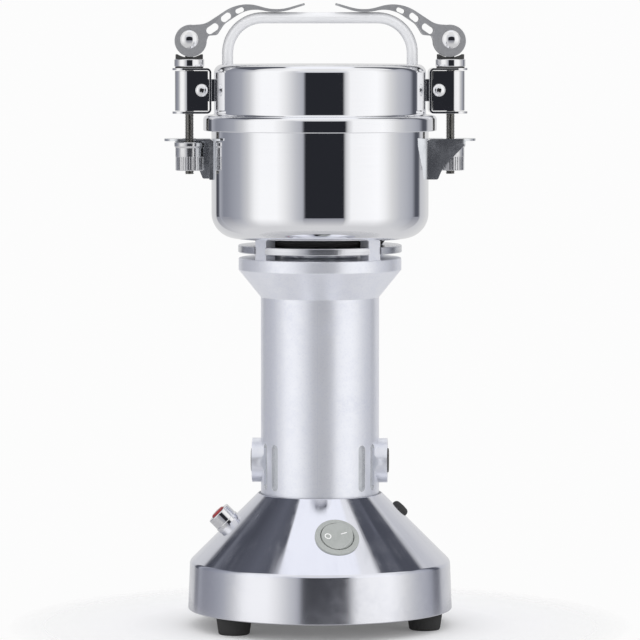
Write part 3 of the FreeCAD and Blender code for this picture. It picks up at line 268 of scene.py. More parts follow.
@shared_group({"Radius": 0.0004}, ("Mask",))
def edge_wear_and_highlight(tree: Tree, given: Sockets) -> tuple[Socket, ...]:
    """Mask of rubbed edges and of edges lit by a painted highlight, broken up by a fine noise."""
    rounded = NodeKit.add(tree, "Bevel", {"Radius": given["Radius"]}, samples=4).outputs["Normal"]
    plain = NodeKit.add(tree, "NewGeometry", {}).outputs["Normal"]
    facing = NodeKit.add(tree, "VectorMath", {0: rounded, 1: plain}, operation="DOT_PRODUCT")
    noise = NodeKit.add(tree, "TexNoise", {"Vector": given["Vector"], "Scale": 700.0})
    edge = NodeKit.span(tree, facing.outputs["Value"], 0.90, 0.995, 1.0, 0.0)
    broken = NodeKit.span(tree, noise.outputs["Fac"], 0.35, 0.6, 0.35, 1.0)
    return (NodeKit.maths(tree, "MULTIPLY", edge, broken),)


@shared_group({"Width": 0.0002}, ("Mask",))
def parting_line(tree: Tree, given: Sockets) -> tuple[Socket, ...]:
    """Thin line where two halves of a mould met, down the column's front and back."""
    parts = NodeKit.add(tree, "SeparateXYZ", {0: given["Vector"]}).outputs
    away = NodeKit.maths(tree, "ABSOLUTE", parts["X"])
    line = NodeKit.span(tree, NodeKit.maths(tree, "DIVIDE", away, given["Width"]), 0.5, 1.0, 1.0, 0.0)
    low = NodeKit.span(tree, parts["Z"], SEAM_LOW - SEAM_FADE, SEAM_LOW + SEAM_FADE)
    high = NodeKit.span(tree, parts["Z"], SEAM_HIGH - SEAM_FADE, SEAM_HIGH + SEAM_FADE, 1.0, 0.0)
    return (NodeKit.maths(tree, "MULTIPLY", line, NodeKit.maths(tree, "MULTIPLY", low, high)),)


# Finishes


@dataclass(frozen=True)
class Finish:
    """A surface finish: two tints that mottle into each other, a roughness range and a fine relief.

    The pattern runs on object coordinates, so it stays on the piece when the piece moves.
    """

    name: str
    colour: Colour
    shade: Colour
    slot: str
    metallic: float = 1.0
    smooth: float = 0.05
    rough: float = 0.12
    grain: Grain = Grain.CAST
    scale: float = 400.0
    relief: float = 0.004
    strength: float = 0.25
    patches: float = 28.0
    # Lighter edge colour: wear, and on some finishes a painted highlight where edges catch the light.
    wear_and_highlight: Optional[Colour] = None
    wear_and_highlight_width: float = 0.4
    pits: float = 0.0
    seam_turn: Optional[float] = None
    coat: float = 0.0

    def material(self) -> bpy.types.Material:
        """Build the material once.

        Returns:
            The material of this finish.
        """
        found = bpy.data.materials.get(self.name)
        if found:
            return found
        made = bpy.data.materials.new(self.name)
        made.use_nodes = True
        tree = made.node_tree
        place = NodeKit.add(tree, "TexCoord", {}).outputs["Object"]
        sloped = self.grain is Grain.SLOPE
        source = self._group(tree, unrolled_coordinate, place)["Vector"] if sloped else place
        mapped = NodeKit.add(tree, "Mapping", {"Vector": source, "Scale": self.grain.value})
        grain = self._group(tree, surface_grain, mapped.outputs["Vector"], Scale=self.scale)
        patches = self._group(tree, soft_patches, place, Scale=self.patches)
        mask = NodeKit.maths(tree, "MULTIPLY", grain["Mask"], patches["Mask"])
        height = grain["Height"]
        shade = (*self.shade, 1.0)
        colour = NodeKit.mix(tree, mask, (*self.colour, 1.0), shade)
        if self.pits:
            pits = self._group(tree, blast_speckle, place, Scale=self.pits)["Pits"]
            height = self._added(tree, height, pits, PIT_HEIGHT)
            colour = NodeKit.mix(tree, NodeKit.maths(tree, "MULTIPLY", pits, PIT_SHADE), colour, shade)
        if self.seam_turn is not None:
            angle = (0.0, 0.0, math.radians(self.seam_turn))
            across = NodeKit.add(tree, "Mapping", {"Vector": place, "Rotation": angle}).outputs["Vector"]
            seam = self._group(tree, parting_line, across)["Mask"]
            height = self._added(tree, height, seam, SEAM_HEIGHT)
            colour = NodeKit.mix(tree, NodeKit.maths(tree, "MULTIPLY", seam, SEAM_SHADE), colour, shade)
        # Lighter edges: wear, and on some finishes a painted highlight.
        if self.wear_and_highlight:
            wear_and_highlight_mask = self._group(tree, edge_wear_and_highlight, place, Radius=self.wear_and_highlight_width * MM)["Mask"]
            colour = NodeKit.mix(tree, wear_and_highlight_mask, colour, (*self.wear_and_highlight, 1.0))
        bump = NodeKit.add(tree, "Bump", {"Strength": self.strength, "Distance": self.relief * MM,
                                          "Height": height})
        NodeKit.feed(tree, tree.nodes["Principled BSDF"], {
            "Base Color": colour,
            "Metallic": self.metallic,
            "Roughness": NodeKit.span(tree, mask, 0.0, 1.0, self.smooth, self.rough),
            "Normal": bump.outputs["Normal"],
            "Coat Weight": self.coat,
            "Coat Roughness": COAT_ROUGHNESS,
        })
        return made

    @staticmethod
    def _group(tree: Tree, group: GroupMaker, vector: Socket, **numbers: float) -> Sockets:
        """Place a shared group and give it its coordinate and numbers.

        Args:
            tree: material's tree.
            group: maker of the shared group.
            vector: coordinate that the group follows.
            numbers: values of its other inputs.

        Returns:
            The outputs of the group's node.
        """
        node = tree.nodes.new("ShaderNodeGroup")
        node.node_tree = group()
        NodeKit.feed(tree, node, {"Vector": vector, **numbers})
        return node.outputs

    @staticmethod
    def _added(tree: Tree, height: Socket, mask: Socket, amount: float) -> Socket:
        """Raise the relief where a mask is, or sink it where the amount is below 0."""
        return NodeKit.maths(tree, "ADD", height, NodeKit.maths(tree, "MULTIPLY", mask, amount))


MIRROR_STEEL = Finish("mirror_steel", (0.935, 0.94, 0.965), (0.915, 0.92, 0.948), "polished_steel",
                      smooth=0.03, rough=0.075, grain=Grain.RINGS, scale=90.0, relief=0.0006, strength=0.12)
INNER_STEEL = Finish("inner_steel", (0.70, 0.70, 0.71), (0.58, 0.58, 0.60), "polished_steel",
                     smooth=0.22, rough=0.34, grain=Grain.RINGS, scale=120.0, relief=0.003)
POLISHED_CONE = Finish("polished_cone", (0.86, 0.87, 0.935), (0.77, 0.785, 0.865), "cast_aluminium_polished",
                       smooth=0.05, rough=0.30, grain=Grain.SLOPE, scale=9.0, relief=0.05, strength=0.38,
                       patches=38.0)
SATIN_RIM = Finish("satin_rim", (0.87, 0.875, 0.92), (0.79, 0.80, 0.86), "cast_aluminium_polished",
                   smooth=0.15, rough=0.26, grain=Grain.CAST, scale=160.0, relief=0.004, strength=0.2)
RAW_CASTING = Finish("raw_casting", (0.52, 0.53, 0.55), (0.40, 0.41, 0.43), "cast_aluminium_polished",
                     smooth=0.5, rough=0.65, scale=500.0, relief=0.05, strength=0.5)
BLASTED = Finish("blasted_casting", (0.915, 0.93, 0.985), (0.82, 0.84, 0.925), "silver_paint", metallic=0.68,
                 smooth=0.30, rough=0.40, scale=900.0, relief=0.03, strength=0.4, pits=620.0, seam_turn=4.5,
                 wear_and_highlight=(0.96, 0.965, 0.98), wear_and_highlight_width=0.5)
# Darker casting tone as painted shade in the column's slot recesses; its white edge colour is a painted
# highlight on the slot rims. Its pits and rougher relief are the casting's own.
RECESS_CASTING_PAINTED_SHADE = Finish("recess_casting_painted_shade", (0.68, 0.70, 0.73), (0.46, 0.475, 0.50), "silver_paint",
                        metallic=0.45, smooth=0.36, rough=0.50, scale=420.0, relief=0.10, strength=0.7,
                        pits=900.0, wear_and_highlight=(1.0, 1.0, 1.0), wear_and_highlight_width=0.8)
PLATE_ALUMINIUM = Finish("plate_aluminium", (0.80, 0.81, 0.84), (0.66, 0.67, 0.71), "silver_paint",
                         smooth=0.20, rough=0.32, grain=Grain.RINGS, scale=60.0, relief=0.004,
                         wear_and_highlight=(0.93, 0.93, 0.95))
CHROME = Finish("chrome", (0.90, 0.90, 0.91), (0.80, 0.80, 0.82), "chrome_plate", smooth=0.04, rough=0.10,
                scale=300.0, relief=0.001, strength=0.15, wear_and_highlight=(0.97, 0.97, 0.97), wear_and_highlight_width=0.25)
# Its lighter edge colour is a painted highlight where the catch's edges catch the light.
CATCH_STEEL = Finish("catch_steel", (0.84, 0.86, 0.88), (0.66, 0.68, 0.71), "polished_steel", smooth=0.18,
                     rough=0.32, scale=300.0, relief=0.005, strength=0.25, patches=60.0,
                     wear_and_highlight=(0.97, 0.97, 0.98), wear_and_highlight_width=0.5)
KNURLED = Finish("knurled_nickel", (0.80, 0.80, 0.81), (0.60, 0.60, 0.62), "chrome_plate", smooth=0.16,
                 rough=0.30, scale=600.0, relief=0.006, strength=0.3, wear_and_highlight=(0.95, 0.95, 0.96), wear_and_highlight_width=0.2)
GREY_CASTING = Finish("grey_casting", (0.47, 0.475, 0.49), (0.33, 0.335, 0.35), "satin_casting",
                      metallic=0.60, smooth=0.36, rough=0.54, scale=1500.0, relief=0.06, strength=0.6,
                      patches=120.0, pits=900.0, wear_and_highlight=(0.72, 0.72, 0.74), wear_and_highlight_width=0.35)
HANDLE_SATIN = Finish("handle_satin", (0.90, 0.905, 0.92), (0.85, 0.855, 0.875), "handle_silver",
                      metallic=0.10, smooth=0.22, rough=0.32, scale=700.0, relief=0.006, strength=0.25)
BLACK_OXIDE = Finish("blackened_thread", (0.30, 0.295, 0.28), (0.14, 0.135, 0.125), "black_oxide",
                     smooth=0.16, rough=0.32, scale=900.0, relief=0.01, wear_and_highlight=(0.62, 0.61, 0.58),
                     wear_and_highlight_width=0.12)
SCREW_STEEL = Finish("screw_steel", (0.95, 0.95, 0.96), (0.86, 0.86, 0.88), "zinc_steel", smooth=0.12,
                     rough=0.20, scale=500.0, relief=0.004, wear_and_highlight=(0.97, 0.97, 0.97), wear_and_highlight_width=0.2)
BLACK_RUBBER = Finish("black_rubber", (0.014, 0.014, 0.015), (0.028, 0.028, 0.03), "black_rubber",
                      metallic=0.0, smooth=0.55, rough=0.75, scale=700.0, relief=0.03, strength=0.4)
# Black plastic; the same finish also paints shade on the walls of the screws' cross recesses.
BLACK_PLASTIC_AND_SHADE = Finish("black_plastic", (0.016, 0.015, 0.016), (0.030, 0.028, 0.028), "black_plastic",
                       metallic=0.0, smooth=0.30, rough=0.45, scale=900.0, relief=0.012,
                       wear_and_highlight=(0.07, 0.07, 0.07), wear_and_highlight_width=0.25)
GREY_PLASTIC = Finish("switch_grey", (0.43, 0.45, 0.435), (0.37, 0.39, 0.375), "grey_plastic",
                      metallic=0.0, smooth=0.38, rough=0.52, scale=1100.0, relief=0.015,
                      wear_and_highlight=(0.55, 0.565, 0.55), wear_and_highlight_width=0.3)
# Dark grey plastic that paints the shade in the gap round the switch's rocker.
GAP_PAINTED_SHADE = Finish("gap_painted_shade", (0.19, 0.195, 0.185), (0.12, 0.125, 0.118), "grey_plastic", metallic=0.0,
                   smooth=0.55, rough=0.70, scale=700.0, relief=0.02)
PRINT_WHITE = Finish("marking_white", (0.95, 0.95, 0.94), (0.86, 0.86, 0.85), "grey_plastic", metallic=0.0,
                     smooth=0.45, rough=0.60, scale=900.0, relief=0.004)
RED_PLASTIC = Finish("button_red", (0.36, 0.018, 0.022), (0.22, 0.010, 0.014), "red_plastic",
                     metallic=0.0, smooth=0.25, rough=0.40, scale=800.0, relief=0.01, coat=0.3)
ZINC = Finish("zinc_steel", (0.66, 0.67, 0.68), (0.50, 0.51, 0.53), "zinc_steel", smooth=0.24, rough=0.42,
              scale=600.0, relief=0.01, wear_and_highlight=(0.85, 0.85, 0.86))
DRIVE_STEEL = Finish("drive_steel", (0.60, 0.60, 0.61), (0.45, 0.45, 0.47), "steel", smooth=0.18, rough=0.34,
                     grain=Grain.RINGS, scale=200.0, relief=0.004)
BLADE_STEEL = Finish("blade_steel", (0.72, 0.72, 0.74), (0.58, 0.58, 0.61), "steel", smooth=0.16, rough=0.30,
                     grain=Grain.BRUSHED, scale=120.0, relief=0.006, wear_and_highlight=(0.93, 0.93, 0.94), wear_and_highlight_width=0.3)
LAMINATED = Finish("laminated_steel", (0.33, 0.33, 0.36), (0.14, 0.14, 0.16), "laminated_steel",
                   smooth=0.35, rough=0.55, grain=Grain.LAYERS, scale=30.0, relief=0.08, strength=0.6)
COPPER = Finish("copper_wire", (0.62, 0.22, 0.09), (0.40, 0.11, 0.04), "copper_wire", smooth=0.25,
                rough=0.42, grain=Grain.LAYERS, scale=22.0, relief=0.15, strength=0.7)
BRASS = Finish("brass", (0.72, 0.50, 0.20), (0.55, 0.36, 0.13), "brass", smooth=0.22, rough=0.36,
               grain=Grain.RINGS, scale=120.0, relief=0.006)
CARBON = Finish("carbon_block", (0.022, 0.022, 0.024), (0.045, 0.045, 0.048), "carbon", metallic=0.2,
                smooth=0.50, rough=0.70, scale=900.0, relief=0.02)
NYLON = Finish("fan_nylon", (0.025, 0.025, 0.027), (0.045, 0.045, 0.048), "black_plastic", metallic=0.0,
               smooth=0.40, rough=0.55, scale=600.0, relief=0.02)
SILICONE = Finish("white_silicone", (0.74, 0.74, 0.72), (0.62, 0.62, 0.60), "white_silicone", metallic=0.0,
                  smooth=0.45, rough=0.60, scale=500.0, relief=0.02)


# Shaping


class Shape:
    """A mesh in the making, in metres, and the ways that it is turned, swept and finished."""

    def __init__(self, name: str) -> None:
        """Start an empty mesh under a piece's name."""
        self.name = name
        self.mesh = bmesh.new()

    def turned(self, corners: Sequence[Corner], steps: int = 128, segments: int = 6,
               closed: bool = True) -> "Shape":
        """Turn a profile round the vertical axis.

        Args:
            corners: distance from the axis, height and an optional rounding radius, in millimetres.
            steps: how many steps the turn takes.
            segments: how many pieces each rounding has.
            closed: whether the profile closes on itself.

        Returns:
            This shape.
        """
        made = bmesh.new()
        points = [made.verts.new((corner[0] * MM, 0.0, corner[1] * MM)) for corner in corners]
        count = len(points)
        for index in range(count if closed else count - 1):
            made.edges.new((points[index], points[(index + 1) % count]))
        places = [point.co.copy() for point in points]
        for index, corner in enumerate(corners):
            if len(corner) < 3:
                continue
            back = (places[index - 1] - places[index]).normalized()
            ahead = (places[(index + 1) % count] - places[index]).normalized()
            reach = corner[2] * MM / math.tan(back.angle(ahead) / 2)
            bmesh.ops.bevel(made, geom=[points[index]], offset=reach, offset_type="OFFSET", segments=segments,
                            profile=0.5, affect="VERTICES", material=-1, clamp_overlap=False)
        bmesh.ops.spin(made, geom=made.verts[:] + made.edges[:], cent=(0, 0, 0), axis=(0, 0, 1),
                       dvec=(0, 0, 0), angle=FULL_TURN, steps=steps, use_merge=True, use_duplicate=False)
        bmesh.ops.remove_doubles(made, verts=made.verts[:], dist=MERGE)
        bmesh.ops.recalc_face_normals(made, faces=made.faces[:])
        self.take(made)
        return self

    def take(self, other: Mesh) -> None:
        """Add another mesh to this one and free it."""
        carrier = bpy.data.meshes.new("carrier")
        other.to_mesh(carrier)
        other.free()
        self.mesh.from_mesh(carrier)
        bpy.data.meshes.remove(carrier)

    def moved(self, *places: Matrix) -> "Shape":
        """Move the whole mesh by one or more transforms, the last one last."""
        for place in places:
            self.mesh.transform(place)
        return self

    def piece(self, body: str, finishes: Sequence[Finish], replaces: Iterable[str] = (),
              crisp: float = 32.0, soften: float = 0.0) -> Piece:
        """Make the mesh an object that rides on a body.

        Args:
            body: body that carries the piece.
            finishes: finishes in the order of the mesh's material numbers.
            replaces: CAD nodes that the piece stands for.
            crisp: angle in degrees past which an edge stays sharp.
            soften: width in millimetres of a bevel on such edges, or 0 for none.

        Returns:
            The new object.
        """
        data = bpy.data.meshes.new(self.name)
        self.mesh.to_mesh(data)
        self.mesh.free()
        data.shade_smooth()
        if not soften:
            data.set_sharp_from_angle(angle=math.radians(crisp))
        made = bpy.data.objects.new(self.name, data)
        bpy.context.scene.collection.objects.link(made)
        for finish in finishes:
            data.materials.append(finish.material())
        if soften:
            bevel = made.modifiers.new("softened_edges", "BEVEL")
            bevel.width = soften * MM
            bevel.segments = 2
            bevel.limit_method = "ANGLE"
            bevel.angle_limit = math.radians(crisp)
            bevel.use_clamp_overlap = True
        level = made.modifiers.new("even_shading", "WEIGHTED_NORMAL")
        level.mode = "FACE_AREA_WITH_ANGLE"
        level.keep_sharp = not soften
        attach(made, body)
        if replaces:
            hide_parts(*replaces)
        LOG.info("%s on %s", self.name, body)
        return made


def body_of(node: str) -> str:
    """Name of the body that a CAD node belongs to."""
    groups = frame["record"]["behaviour"]["bodies"]
    return next(body for body, members in groups.items() if node in members)


def refined(node: str, finish: Finish, soften: float = 0.15, crisp: float = 32.0,
            shift: Optional[Vector] = None) -> Piece:
    """Stand a merged, softened copy of a CAD node in its place.

    Args:
        node: CAD node whose form is right.
        finish: finish of the piece.
        soften: width of its softened edges in millimetres.
        crisp: angle in degrees past which an edge is softened.
        shift: small move of the copy in metres, or None.

    Returns:
        The new object.
    """
    shape = Shape(f"{node}_piece")
    shape.mesh.from_mesh(frame["nodes"][node].data)
    bmesh.ops.remove_doubles(shape.mesh, verts=shape.mesh.verts[:], dist=MERGE)
    bmesh.ops.dissolve_limit(shape.mesh, angle_limit=math.radians(0.25), verts=shape.mesh.verts[:],
                             edges=shape.mesh.edges[:], use_dissolve_boundaries=False)
    for face in shape.mesh.faces:
        face.material_index = 0
    if shift:
        shape.moved(Matrix.Translation(shift))
    return shape.piece(body_of(node), [finish], [node], crisp=crisp, soften=soften)


def dress(node: str, finish: Finish) -> None:
    """Give a carried-over CAD node its finish."""
    target = frame["nodes"][node]
    target.data.materials.clear()
    target.data.materials.append(finish.material())
    LOG.info("%s dressed in %s", node, finish.name)


def crossed_recess(target: Piece, centre: Vector, inward: Vector, reach: float, depth: float,
                   arm: float = 0.55, tip: Band = (0.35, 0.6), tilt: float = 28.0) -> None:
    """Cut a cross-head driver recess into a screw's head, with black walls as painted shade.

    Args:
        target: object that is cut.
        centre: point on the head where the recess starts, in metres.
        inward: direction of the recess.
        reach: half width of the cross in millimetres.
        depth: depth in millimetres.
        arm: width of an arm as a share of the reach.
        tip: length and width of an arm at the recess's floor, as shares of those at its mouth.
        tilt: how far the cross is turned in degrees.
    """
    cutter = bmesh.new()
    for turn in (0.0, math.pi / 2):
        made = bmesh.ops.create_cube(cutter, size=1.0)
        bmesh.ops.scale(cutter, verts=made["verts"], vec=(reach * 2 * MM, reach * arm * MM, depth * 2 * MM))
        low = [vert for vert in made["verts"] if vert.co.z < 0]
        bmesh.ops.scale(cutter, verts=low, vec=(*tip, 1.0))
        bmesh.ops.rotate(cutter, verts=made["verts"], cent=(0, 0, 0), matrix=Matrix.Rotation(turn, 3, "Z"))
    facing = (-inward).normalized().to_track_quat("Z", "Y").to_matrix().to_4x4()
    cutter.transform(Matrix.Translation(centre) @ facing @ Matrix.Rotation(math.radians(tilt), 4, "Z"))
    data = bpy.data.meshes.new("cutter")
    cutter.to_mesh(data)
    cutter.free()
    # The cutter's black finish passes to the recess walls: painted shade in the recess.
    data.materials.append(BLACK_PLASTIC_AND_SHADE.material())
    tool = bpy.data.objects.new("cutter", data)
    bpy.context.scene.collection.objects.link(tool)
    cut = target.modifiers.new("recess", "BOOLEAN")
    cut.operation = "DIFFERENCE"
    cut.solver = "EXACT"
    cut.use_self = True
    cut.material_mode = "TRANSFER"
    cut.object = tool
    bpy.context.view_layer.update()
    graph = bpy.context.evaluated_depsgraph_get()
    cut_mesh = bpy.data.meshes.new_from_object(target.evaluated_get(graph))
    target.modifiers.remove(cut)
    old = target.data
    target.data = cut_mesh
    bpy.data.meshes.remove(old)
    bpy.data.objects.remove(tool)
    bpy.data.meshes.remove(data)


# Sub-assemblies


@dataclass
class Base:
    """Cast base with its feet, floor plate, switch, buttons and cord gland. Sizes in millimetres."""

    rim_low: float = 71.6
    rim_top: float = 70.6
    foot_top: float = 9.2
    shoulder: float = 35.0
    neck: float = 33.6
    neck_height: float = 71.9
    wall: float = 3.5
    column_bore: float = 32.2
    ledge: float = 66.0
    ledge_bore: float = 24.0
    crease: float = 1.3
    turn: float = 8.0
    switch_height: float = 53.4
    switch_bore: float = 9.0
    switch_lip: float = 0.9
    rocker_lift: float = 0.9
    rocker_low: float = 6.8
    rocker_high: float = 21.8
    off_mark: Band = (-5.1, -0.2)
    on_mark: Band = (3.5, 0.9)
    on_mark_size: Corner = (3.3, 0.55, 0.36)
    pulse_height: float = 55.7
    pulse_length: float = 7.8
    pulse_turn: float = 172.0
    reset_height: float = 61.8
    foot_circle: float = 60.0
    foot_turns: dict[str, float] = field(
        default_factory=lambda: {"foot_left": -150.0, "foot_right": -30.0, "foot_rear": 90.0})

    def build(self) -> None:
        """Build and dress the whole base."""
        self.housing()
        self.feet()
        self.switch()
        self.buttons()
        refined("cord_gland", BLACK_RUBBER, soften=0.2)
        refined("base_plate", ZINC, soften=0.2)
        for node in ("foot_screws", "tower_screws"):
            dress(node, ZINC)

    def housing(self) -> None:
        """Turned casting: satin rim, polished cone, rough inside."""
        shape = Shape("base_casting").turned([
            (self.rim_low, self.foot_top, 0.5),
            (self.rim_top, self.shoulder, 3.0),
            (self.neck, self.neck_height, 0.7),
            (self.column_bore, self.neck_height),
            (self.column_bore, self.ledge),
            (self.ledge_bore, self.ledge),
            (self.ledge_bore, self.ledge - self.wall),
            (self.neck + 5.0, self.ledge - self.wall, 2.0),
            (self.rim_top - self.wall, self.shoulder - self.wall / 2, 3.0),
            (self.rim_low - self.wall, self.foot_top),
        ], steps=180)
        cone, rim, inside = range(3)
        for face in shape.mesh.faces:
            centre = face.calc_center_median()
            reach = math.hypot(centre.x, centre.y) / MM
            outside = face.normal.dot(Vector((centre.x, centre.y, 0)).normalized()) > 0.1
            if outside and centre.z > (self.shoulder - self.crease) * MM and reach > self.neck - 1:
                face.material_index = cone
            elif outside and reach > self.rim_top - 1:
                face.material_index = rim
            else:
                face.material_index = inside
        shape.piece("stand", [POLISHED_CONE, SATIN_RIM, RAW_CASTING], ["base_housing"], crisp=24.0)

    def feet(self) -> None:
        """Tapered rubber feet with a well for the screw."""
        for node, turn in self.foot_turns.items():
            angle = math.radians(turn + self.turn)
            place = Matrix.Translation((self.foot_circle * MM * math.cos(angle),
                                        self.foot_circle * MM * math.sin(angle), 0.0))
            Shape(f"{node}_rubber").turned([
                (2.2, self.foot_top),
                (9.6, self.foot_top, 0.3),
                (8.3, 0.0, 1.2),
                (4.4, 0.0, 0.4),
                (4.4, 5.0),
                (2.2, 5.0),
            ], steps=64).moved(place).piece("stand", [BLACK_RUBBER], [node])

    def on_cone(self, height: float, turn: float) -> Matrix:
        """Place of something that stands on the cone.

        Args:
            height: height of its centre in millimetres.
            turn: direction round the base in degrees, before the base's own turn.

        Returns:
            Transform whose x runs level, y up the slope and z straight out.
        """
        run, rise = self.rim_top - self.neck, self.neck_height - self.shoulder
        reach = self.rim_top - (height - self.shoulder) * run / rise
        angle = math.radians(turn + self.turn)
        outward = Vector((math.cos(angle), math.sin(angle), 0.0))
        level = Vector((-outward.y, outward.x, 0.0))
        normal = (outward * rise + Vector((0, 0, run))).normalized()
        upward = normal.cross(level)
        place = Matrix((level, upward, normal)).transposed().to_4x4()
        place.translation = Vector((outward.x * reach, outward.y * reach, height)) * MM
        return place

    def switch(self) -> None:
        """Round rocker switch: bezel, rocker and its two marks."""
        place = self.on_cone(self.switch_height, -90.0)
        bezel = Shape("switch_bezel").turned([
            (self.switch_bore, -11.0),
            (self.switch_bore, self.switch_lip + 0.25, 0.3),
            (11.9, self.switch_lip - 0.1, 0.7),
            (11.9, -0.85),
            (10.0, -0.85),
            (10.0, -11.0),
        ], steps=96)
        # The bezel's bore faces take painted shade, the dark of the gap round the rocker.
        for face in bezel.mesh.faces:
            centre = face.calc_center_median()
            if math.hypot(centre.x, centre.y) < (self.switch_bore + 0.05) * MM:
                face.material_index = 1
        bezel.moved(place).piece("stand", [GREY_PLASTIC, GAP_PAINTED_SHADE], ["rocker_bezel"])
        outward = place.to_3x3() @ Vector((0, 0, 1))
        refined("rocker", GREY_PLASTIC, soften=0.3, crisp=28.0, shift=outward * self.rocker_lift * MM)
        self.marks(place)

    def marks(self, place: Matrix) -> None:
        """The ring on the rocker's low half and the bar on its high half.

        Args:
            place: place of the switch on the cone.
        """
        low, high = math.radians(self.rocker_low), math.radians(self.rocker_high)
        Shape("switch_off_mark").turned([
            (1.3, -0.15), (1.85, -0.15), (1.85, 0.16, 0.05), (1.3, 0.16, 0.05),
        ], steps=40, segments=2).moved(
            Matrix.Rotation(low, 4, "Y"), self._on_rocker(self.off_mark, 5.1 * math.tan(low)), place,
        ).piece("switch_rocker", [PRINT_WHITE])
        bar = Shape("switch_on_mark")
        made = bmesh.ops.create_cube(bar.mesh, size=1.0)
        bmesh.ops.scale(bar.mesh, verts=made["verts"], vec=Vector(self.on_mark_size) * MM)
        upright = [edge for edge in bar.mesh.edges if abs(edge.verts[0].co.z - edge.verts[1].co.z) > 0.1 * MM]
        bmesh.ops.bevel(bar.mesh, geom=upright, offset=0.18 * MM, segments=4, profile=0.5, affect="EDGES",
                        material=-1)
        bar.moved(Matrix.Rotation(-high, 4, "Y"), self._on_rocker(self.on_mark, 3.4 * math.tan(high)), place)
        bar.piece("switch_rocker", [PRINT_WHITE])

    def _on_rocker(self, spot: Band, rise: float) -> Matrix:
        """Place of a mark on the rocker, from its two distances and its rise in millimetres."""
        return Matrix.Translation(Vector((*spot, 0.1 + self.rocker_lift + rise)) * MM)

    def buttons(self) -> None:
        """Chrome-ringed red pulse button and the black reset dome."""
        pulse = self.on_cone(self.pulse_height, self.pulse_turn)
        Shape("pulse_ring").turned([
            (4.55, -9.0),
            (4.55, self.pulse_length, 0.5),
            (6.8, self.pulse_length, 0.7),
            (6.8, 1.6, 0.15),
            (7.2, 1.6, 0.2),
            (7.2, -0.85),
            (5.9, -0.85),
            (5.9, -9.0),
        ], steps=72).moved(pulse).piece("stand", [CHROME], ["pulse_bezel"])
        Shape("pulse_cap").turned([
            (0.0, -7.0),
            (4.2, -7.0),
            (4.2, self.pulse_length + 0.9, 1.2),
            (0.0, self.pulse_length + 1.3),
        ], steps=64).moved(pulse).piece("pulse_plunger", [RED_PLASTIC], ["pulse_button"])
        reset = self.on_cone(self.reset_height, 0.0)
        Shape("reset_dome").turned([
            (0.0, -4.0),
            (4.85, -4.0),
            (4.85, 2.8, 2.2),
            (0.0, 3.2),
        ], steps=64).moved(reset).piece("reset_plunger", [BLACK_PLASTIC_AND_SHADE], ["reset_button"])


@dataclass
class Tower:
    """Blasted motor casting with its brush caps and the deflector plate. Sizes in millimetres."""

    column: float = 32.0
    recess_floor: float = 29.6
    recess_low: float = 73.5
    recess_high: float = 101.0

    def build(self) -> None:
        """Build and dress the tower."""
        casting = refined("tower_casting", BLASTED, soften=0.3, crisp=28.0)
        # Faces in the slot recesses take the darker finish: painted shade, with painted highlights on their
        # rims.
        casting.data.materials.append(RECESS_CASTING_PAINTED_SHADE.material())
        for face in casting.data.polygons:
            reach, height = math.hypot(face.center.x, face.center.y) / MM, face.center.z / MM
            sunk = self.recess_floor < reach < self.column - 0.2
            if sunk and self.recess_low < height < self.recess_high:
                face.material_index = 1
        refined("deflector_plate", PLATE_ALUMINIUM, soften=0.25)
        for side in Side:
            refined(f"brush_cap_{side.value}", BLACK_PLASTIC_AND_SHADE, soften=0.2)


@dataclass
class Drive:
    """Everything that the casting hides: motor, brushes, bearings and shaft."""

    finishes: dict[str, Finish] = field(default_factory=lambda: {
        "brush_holders": BRASS,
        "carbon_brushes": CARBON,
        "brush_springs": DRIVE_STEEL,
        "bearing_bracket": RAW_CASTING,
        "lower_bearing": DRIVE_STEEL,
        "upper_bearing": DRIVE_STEEL,
        "motor_stator": LAMINATED,
        "field_coils": COPPER,
        "motor_shaft": DRIVE_STEEL,
        "armature_core": LAMINATED,
        "commutator": BRASS,
        "cooling_fan": NYLON,
        "blade_spacer": DRIVE_STEEL,
        "shaft_seal": BLACK_RUBBER,
        "bowl_screws": ZINC,
        "lid_seal": SILICONE,
        "handle_screws": ZINC,
    })

    def build(self) -> None:
        """Dress the inner nodes and refine the blades."""
        for node, finish in self.finishes.items():
            dress(node, finish)
        for node in ("lower_blade", "upper_blade"):
            refined(node, BLADE_STEEL, soften=0.12)
        refined("blade_nut", CHROME, soften=0.2)


@dataclass
class Bowl:
    """Mirror-polished grinding bowl with its two welded catches. Sizes in millimetres."""

    radius: float = 58.6
    wall: float = 1.5
    corner: float = 13.5
    low: float = 210.2
    rim: float = 274.0
    shaft_hole: float = 9.0
    hub_top: float = 208.7
    gasket: float = 27.5

    def build(self) -> None:
        """Build the bowl and refine the catches."""
        shape = Shape("grinding_bowl").turned([
            (self.shaft_hole, self.low),
            (self.radius, self.low, self.corner),
            (self.radius, self.rim, 0.6),
            (self.radius - self.wall, self.rim, 0.6),
            (self.radius - self.wall, self.low + self.wall, self.corner - self.wall),
            (self.shaft_hole, self.low + self.wall),
        ], steps=200, segments=16)
        for face in shape.mesh.faces:
            centre = face.calc_center_median()
            outward = face.normal.dot(Vector((centre.x, centre.y, 0)).normalized())
            inside = outward < -0.05 or (face.normal.z > 0.5 and centre.z < (self.low + 20) * MM)
            face.material_index = 1 if inside else 0
        shape.piece("stand", [MIRROR_STEEL, INNER_STEEL], ["bowl"], crisp=60.0)
        Shape("moulded_gasket").turned([
            (self.shaft_hole, self.hub_top),
            (self.gasket, self.hub_top),
            (self.gasket, self.hub_top - 1.9),
            (33.5, self.hub_top - 1.9, 0.4),
            (35.0, self.hub_top, 0.3),
            (35.0, self.low),
            (self.shaft_hole, self.low),
        ], steps=120, segments=3).piece("stand", [BLACK_RUBBER], ["bowl_gasket"])
        for side in Side:
            refined(f"catch_{side.value}", CATCH_STEEL, soften=0.22)


